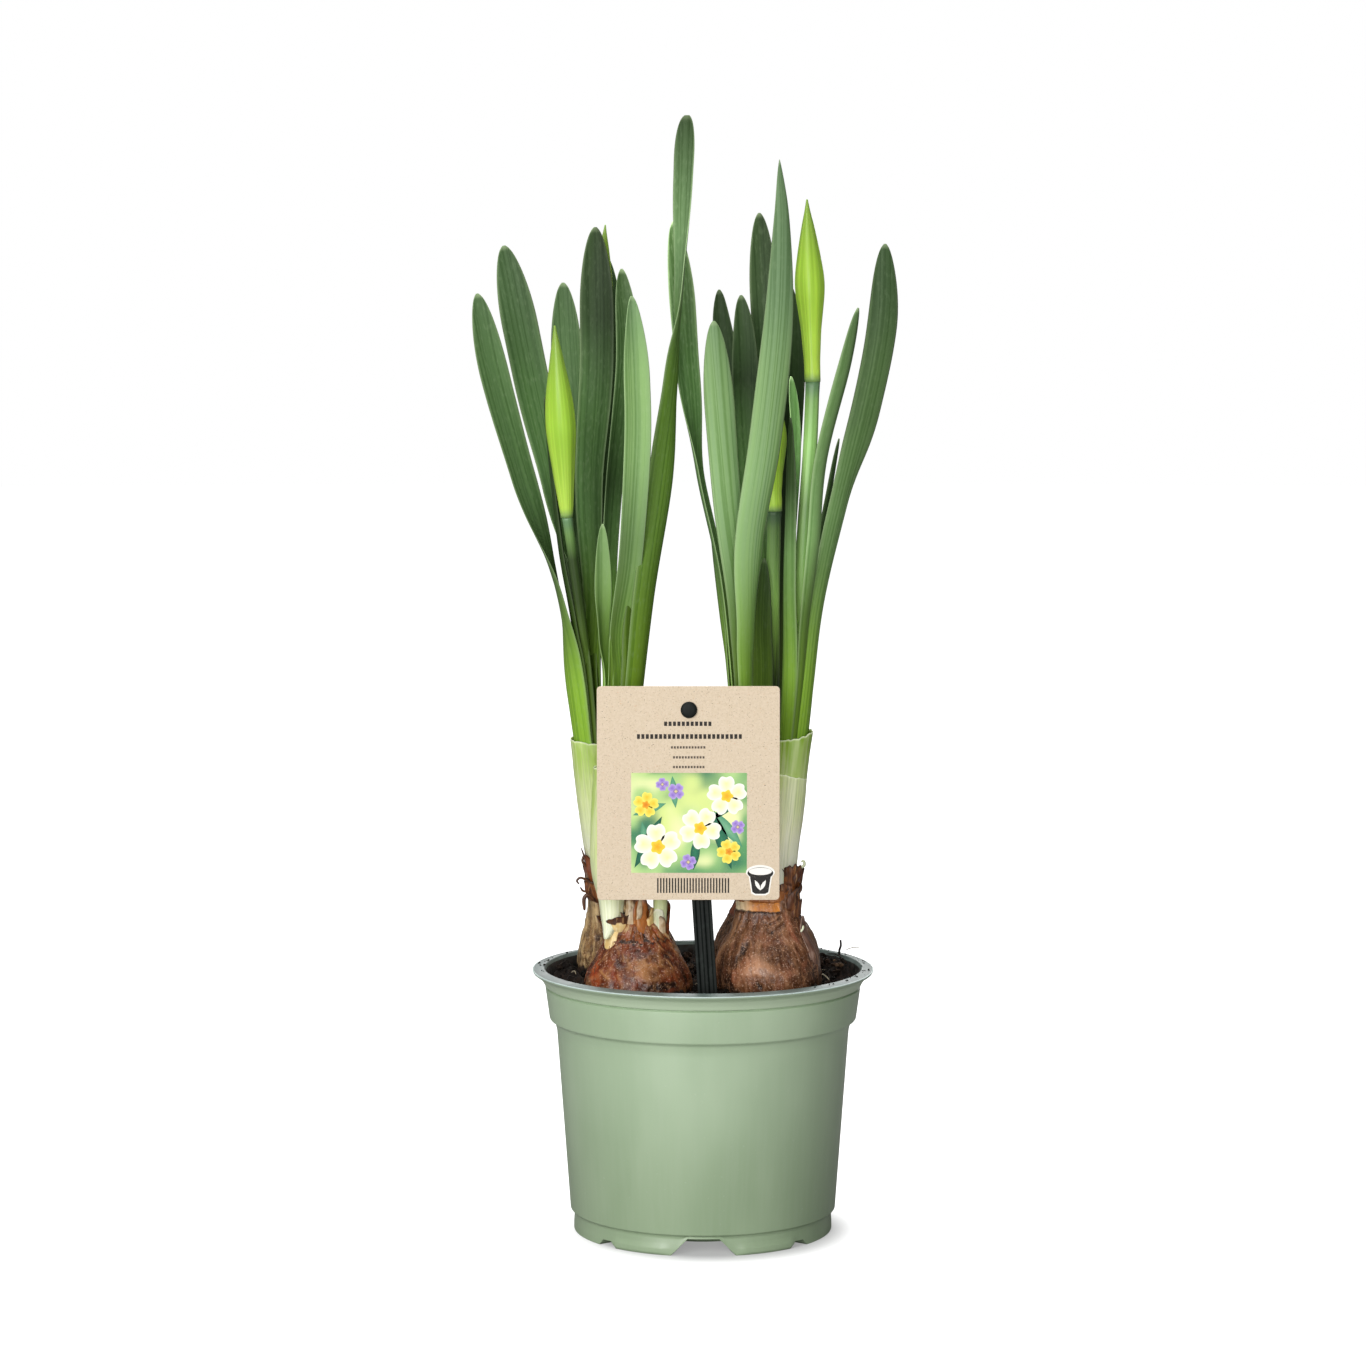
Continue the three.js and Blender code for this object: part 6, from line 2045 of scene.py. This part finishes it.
@dataclass(frozen=True)
class KraftFinish:
    """Uncoated recycled card: warm grey-beige pulp with fibres of brown, grey and orange in it."""

    pulp: str = "#D0BEA4"

    def material(self) -> Material:
        """Matt, with single fibres about 1 mm long that catch the eye close up."""
        recipe = Recipe("uncoated_recycled_card")
        cloud, tooth, long, upright, grey, orange = recipe.grains(
            recipe.millimetres(), (0.7, 3), (0.35, 2), ((0.9, 0.5, 0.2), 1), ((0.2, 0.5, 0.9), 1), (0.4, 1),
            ((0.7, 0.7, 0.45), 1))
        colour = recipe.paint(
            self.pulp, Coat(cloud, "#DBCAB4", 0.35, 0.65, 0.15, 0.7),
            Coat(long, "#8F7658", 0.685, 0.725, 0, 0.6), Coat(upright, "#8F7658", 0.69, 0.73, 0, 0.6),
            Coat(grey, "#4E3E30", 0.735, 0.775), Coat(orange, "#C98F5C", 0.72, 0.76, 0, 0.5))
        return recipe.finish({"Specular IOR Level": 0.25}, colour, 0.92, (tooth, 0.05, 0.6))


@dataclass(frozen=True)
class InkFinish:
    """Offset ink on uncoated card: flat colour that sinks in, so that it stays matt."""

    def material(self) -> Material:
        """The ink's own colour at each point, broken a little by the card's tooth."""
        recipe = Recipe("offset_ink_on_card", "ink")
        [tooth] = recipe.grains(recipe.millimetres(), (0.4, 2))
        colour = recipe.paint(recipe.values[0], Coat(tooth, "#D9C9B2", 0.6, 0.75, 0, 0.12))
        return recipe.finish({"Specular IOR Level": 0.35}, colour, 0.7, (tooth, 0.03, 0.4))


@dataclass(frozen=True)
class StakeFinish:
    """Injection-moulded polypropylene, dark green-black, with a satin skin and faint flow lines."""

    base: str = "#101512"

    def material(self) -> Material:
        """Light runs down its ribs. Dust and scratches grey it a little."""
        recipe = Recipe("injection_moulded_polypropylene_dark")
        flow, dust = recipe.grains(recipe.millimetres(), ((0.8, 0.8, 30), 2), ((1.6, 1.6, 2.4), 3))
        colour = recipe.paint(self.base, Coat(dust, "#313934", 0.5, 0.72, 0, 0.3))
        return recipe.finish({"IOR": 1.49, "Specular IOR Level": 0.22}, colour, (flow, 0.3, 0.7, 0.5, 0.64),
                             (flow, 0.04, 0.4))


@dataclass
class Card:
    """The card, with its made-up print.

    panel is the print's panel: from and to across, and from and to upwards. Each printed leaf is its foot's
    x and z, length, width, turn and whether it is dark. Each blossom is its middle's x and z, radius,
    number of petals, inks and turn. Each rule of dashes runs from x to x at a height, and has its own
    height, step and ink.
    """

    width: float = 62.0
    height: float = 73.0
    thickness: float = 0.6
    corner: float = 1.4
    ease: float = 0.08
    x: float = -5.2
    y: float = -42.6
    bottom: float = 123.0
    panel: tuple[float, float, float, float] = (-24.6, 14.7, 132.3, 166.5)
    layer: float = 0.02
    sign: tuple[float, float] = (19.3, 129.3)
    bars: tuple[float, ...] = (-15.8, 125.4, 130.5)
    bar_count: int = 25

    CREAM = ("#F3EDA6", "#FBFBEE", "#F0A81E", "#F6D53C")
    LEMON = ("#F2C32E", "#F8E96A", "#D9791C", "#F0AE2A")
    VIOLET = ("#8B6CC4", "#B9A3DD", "#F1E38A", "#6C4BA6")
    LEAF_INKS = {True: ("#2E7A58", "#1D5A45"), False: ("#7DB58C", "#4E9170")}
    BLACK, GREY = "#2B2622", "#5A4F45"
    DARK, WHITE = "#23211F", "#F4F1EA"
    BLADES = (
        (-23.5, 134, 20, 4.2, 62, True), (-18, 133.2, 17, 3.4, 100, False), (9.5, 133.5, 21, 4.4, 108, True),
        (13.2, 141, 16, 3.6, 128, False), (-3.5, 133.2, 12, 3.2, 84, True), (-24, 152, 12, 3.0, 20, False),
        (3.0, 150.5, 13, 3.2, 42, True), (-9.5, 154.5, 11, 2.8, 96, False),
    )
    BLOSSOMS = (
        (-15.6, 141.2, 8.4, 5, CREAM, 96), (-1.2, 147.6, 7.6, 5, CREAM, 60), (7.9, 158.6, 7.2, 5, CREAM, 20),
        (8.6, 139.6, 4.4, 5, LEMON, 40), (-19.6, 155.6, 4.6, 5, LEMON, 10), (-5.2, 136, 2.9, 4, VIOLET, 20),
        (-9.4, 160.2, 3.1, 4, VIOLET, 50), (-14, 162.6, 2.4, 4, VIOLET, 5), (11.6, 148, 2.6, 4, VIOLET, 35),
    )
    RULES = (
        (-13.4, 3.5, 182.5, 1.5, 1.5, BLACK), (-22.6, 12.7, 178.1, 1.6, 1.5, BLACK),
        (-11.1, 1.1, 174.8, 0.8, 1.0, GREY), (-10.4, 0.5, 171.4, 0.8, 1.0, GREY),
        (-10.4, 0.5, 168.1, 0.8, 1.0, GREY),
    )

    def build(self) -> Skin:
        """The card as a flat plate with rounded corners and slightly eased edges."""
        half = np.array([self.width, self.height]) / 2
        quarters = np.repeat(np.arange(4) * 90, 9)
        signs = np.repeat([(1, 1), (-1, 1), (-1, -1), (1, -1)], 9, axis=0)
        angle = np.radians(quarters + np.tile(np.linspace(0, 90, 9), 4))
        flat = signs * (half - self.corner) + self.corner * stack(np.cos(angle), np.sin(angle))
        rings = []
        for depth, inset in ((0, self.ease), (self.ease, 0), (self.thickness - self.ease, 0),
                             (self.thickness, self.ease)):
            x, z = (flat * (1 - inset / half)).T
            rings.append(stack(self.x + x, self.y + self.thickness / 2 - depth, self.bottom + half[1] + z))
        return loft(np.array(rings))

    def inked(self, outline: Array, middle: str, rim: str, level: int, centre: Sequence[float] = ()) -> Skin:
        """One flat printed shape, just proud of the card.

        Args:
            outline: x and z of its corners, anticlockwise as the card is read.
            middle: the colour in its middle.
            rim: the colour at its edge.
            level: how many shapes lie under it.
            centre: x and z of its middle, if that isn't the mean of its corners.

        Returns:
            The closed skin with its ink.
        """
        hub = np.array(centre if len(centre) else outline.mean(0), float)
        front = self.y - self.thickness / 2 - self.layer * (level + 1)
        rings = np.array([stack(ring[:, 0], y, ring[:, 1]) for ring, y in (
            (outline, front + 0.9 * self.layer), (outline, front), (hub + (outline - hub) * 0.5, front))])
        outer_ink, inner_ink = np.array(linear(rim)[:3]), np.array(linear(middle)[:3])
        shades = np.array([outer_ink, outer_ink, 0.55 * inner_ink + 0.45 * outer_ink])
        skin = loft(rings, {"ink": np.broadcast_to(shades[:, None], rings.shape)})
        skin.values["ink"][-1] = inner_ink
        return skin

    def bar(self, x0: float, x1: float, z0: float, z1: float, colour: str) -> Skin:
        """A plain printed rectangle."""
        return self.inked(np.array([(x0, z0), (x1, z0), (x1, z1), (x0, z1)]), colour, colour, 0)

    def blossom(self, x: float, z: float, size: float, petals: int, inks: Sequence[str], turn: float,
                level: int) -> list[Skin]:
        """A round open blossom with notched petals.

        Args:
            x: its middle.
            z: its middle.
            size: its radius.
            petals: how many petals it has.
            inks: the colours of the petals' inside and rim, and of the eye's middle and rim.
            turn: how far it is turned, in degrees.
            level: how many shapes lie under it.

        Returns:
            The printed shapes.
        """
        shapes = []
        share = np.linspace(0, 1, 26)
        swing = (share - 0.5) * TURN / petals * 1.16
        notch = 1 - 0.12 * np.exp(-((share - 0.5) / 0.1) ** 2)
        reach = size * notch * np.sin(math.pi * np.clip(share, 0.03, 0.97)) ** 0.32
        for petal in range(petals):
            along = math.radians(turn + petal * 360 / petals)
            edge = stack(x + reach * np.cos(along + swing), z + reach * np.sin(along + swing))
            middle = (x + 0.5 * size * math.cos(along), z + 0.5 * size * math.sin(along))
            shapes.append(self.inked(np.array([*edge, (x, z)]), *inks[:2], level + petal % 2, middle))
        round_turn = turns(30)
        wave = size * 0.27 * (1 + 0.16 * np.cos(round_turn * petals))
        eye = stack(x + wave * np.cos(round_turn), z + wave * np.sin(round_turn))
        return [*shapes, self.inked(eye, *inks[2:], level + 2)]

    def blade(self, x: float, z: float, length: float, width: float, turn: float, inks: Sequence[str],
              level: int) -> Skin:
        """A printed lens-shaped leaf.

        Args:
            x: its foot.
            z: its foot.
            length: how long it is.
            width: its greatest width.
            turn: how far it is turned, in degrees.
            inks: the colours of its middle and rim.
            level: how many shapes lie under it.

        Returns:
            The printed shape.
        """
        share = np.linspace(0, 1, 16)
        swell, along = width / 2 * np.sin(math.pi * share), share * length
        outline = np.concatenate([stack(along, -swell), stack(along, swell)[-2:0:-1]])
        cos, sin = math.cos(math.radians(turn)), math.sin(math.radians(turn))
        return self.inked(outline @ np.array([[cos, sin], [-sin, cos]]) + (x, z), *inks, level)

    def backdrop(self) -> Skin:
        """The panel's ground: soft patches of leaf green, blue-green and light yellow."""
        x0, x1, z0, z1 = self.panel
        xs, zs = np.meshgrid(np.linspace(x0, x1, 40), np.linspace(z0, z1, 36))
        flat = stack(xs, zs)
        ink = np.zeros((*xs.shape, 3)) + linear("#A9CF86")[:3]
        for size, seed, low, high in ((13, 71, "#5E9C63", "#D9E88F"), (9, 72, "#2F7358", "#EEF2B2")):
            wander = lumps(flat, size, seed, 2)[..., None]
            share = smoothstep(np.abs(wander) * 1.6)
            ink = ink * (1 - share) + np.where(wander > 0, linear(high)[:3], linear(low)[:3]) * share
        return sheet(stack(xs, self.y - self.thickness / 2 - self.layer, zs), 0.9 * self.layer, {"ink": ink})

    def pictogram(self) -> list[Skin]:
        """A small plain pot with two leaves, printed at the card's corner."""
        x, z = self.sign
        turn = turns(36)
        body = np.array([(-2.7, -3.6), (-1.6, -4.2), (1.6, -4.2), (2.7, -3.6), (3.6, 2.2), (-3.6, 2.2)])
        ovals = [stack(x + wide * np.cos(turn), z + rise + high * np.sin(turn))
                 for wide, high, rise in ((4.9, 2.5, 3.2), (4.4, 2.0, 2.9), (3.9, 1.25, 3.5))]
        shapes = [body * 1.13 + (x, z), ovals[0], body + (x, z), *ovals[1:]]
        shades = (self.WHITE, self.WHITE, self.DARK, self.DARK, self.WHITE)
        return [self.inked(shape, shade, shade, level)
                for level, (shape, shade) in enumerate(zip(shapes, shades))] + \
               [self.blade(x, z - 3.0, 4.0, 1.2, lean, (self.WHITE, self.WHITE), 5) for lean in (62, 118)]

    def print_work(self) -> Skin:
        """All that is printed on the card: plain rules, the flower panel, even bars and the small pot."""
        shapes = [self.backdrop()]
        shapes += [self.blade(*given, self.LEAF_INKS[dark], 1) for *given, dark in self.BLADES]
        for given in self.BLOSSOMS:
            shapes += self.blossom(*given, 2)
        for x0, x1, z, high, step, shade in self.RULES:
            shapes += [self.bar(start, start + 0.68 * step, z, z + high, shade)
                       for start in np.arange(x0, x1 - 0.4 * step, step)]
        x0, low, high = self.bars
        shapes += [self.bar(x0 + number, x0 + number + 0.5, low, high, self.BLACK)
                   for number in range(self.bar_count)]
        return join_skins([*shapes, *self.pictogram()])

    def dress(self) -> None:
        """Makes the card's pieces."""
        make_piece("kraft_card", self.build(), [KraftFinish().material()], ["label_card"],
                   smooth=False)
        make_piece("card_print", self.print_work(), [InkFinish().material()], smooth=False)


@dataclass
class Stake:
    """The ribbed stake with the stud that holds the card.

    ribs are shares of the half width, and of the half thickness, along the bar's ribbed side. A row of the
    stud is its radius and how far it stands in front of the card.
    """

    width: float = 6.7
    thickness: float = 2.2
    top: float = 190.0
    bottom: float = 42.0
    point: float = 18.0
    point_half: float = 0.6
    x: float = -5.0
    y: float = -40.4
    lean: float = 3.7
    stud_z: float = 188.0
    stud_radius: float = 2.8
    shank_radius: float = 1.5
    card_front: float = -42.95
    blend: float = 0.22
    ribs: tuple[tuple[float, float], ...] = (
        (-1, -1), (-0.72, -1), (-0.6, -0.35), (-0.26, -0.35), (-0.14, -1), (0.14, -1), (0.26, -0.35),
        (0.6, -0.35), (0.72, -1), (1, -1), (1, 1), (-1, 1),
    )

    def _section(self) -> Array:
        """The bar's outline: a rib down each edge and one in the middle, with eased corners."""
        corners = np.array(self.ribs) * (self.width / 2, self.thickness / 2)
        ring = np.concatenate([corners[-1:], corners, corners[:1]])
        return np.array([place for number in range(len(corners)) for place in
                         round_corner(ring[number:number + 3], self.blend, 0.4, (0.0, 0.33, 0.67, 1.0))])

    def build(self) -> Skin:
        """The bar with its pointed end, leaned about its top, and the stud."""
        across, deep = self._section().T
        length, half = self.top - self.bottom, self.width / 2
        rings = []
        pointed = np.linspace(-length, -length + self.point, 10)
        for z in (*pointed, *np.linspace(-length + self.point + 5, 0, 30)):
            share = min(1.0, (z + length) / self.point)
            narrow = (self.point_half + (half - self.point_half) * share) / half
            rings.append(stack(across * narrow, deep, z))
        cos, sin = math.cos(math.radians(self.lean)), math.sin(math.radians(self.lean))
        leaned = np.array(rings) @ np.array([[cos, 0, sin], [0, 1, 0], [-sin, 0, cos]])
        stud, face, turn = self.stud_radius, self.card_front, turns(48)
        head = np.array([stack(self.x + radius * np.cos(turn), y, self.stud_z + radius * np.sin(turn))
                         for radius, y in (
                             (self.shank_radius, self.y), (self.shank_radius, face), (stud - 0.15, face),
                             (stud, face - 0.15), (stud, face - 0.6), (stud - 0.2, face - 0.95),
                             (stud * 0.6, face - 1.2), (0.3, face - 1.28))])
        return join_skins([loft(leaned + (self.x, self.y, self.top)), loft(head)])

    def dress(self) -> None:
        """Makes the stake's piece."""
        make_piece("ribbed_stake", self.build(), [StakeFinish().material()], ["label_stake"])


def main() -> None:
    """Builds the studio and then each sub-assembly."""
    logging.basicConfig(level=logging.INFO, format="%(name)s %(message)s")
    Studio().build()
    Pot().dress(MouldedPolypropylene())
    PeatBed().dress(PeatFinish())
    for group in (Bulbs(), Sheaths(), Foliage(), Flowers(), Card(), Stake()):
        LOG.info("%s", type(group).__name__)
        group.dress()
    boxes = {name: [list(corner) for corner in box]
             for name, box in (("cad", CAD_BOX), ("visual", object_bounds()))}


if __name__ == "__main__":
    main()
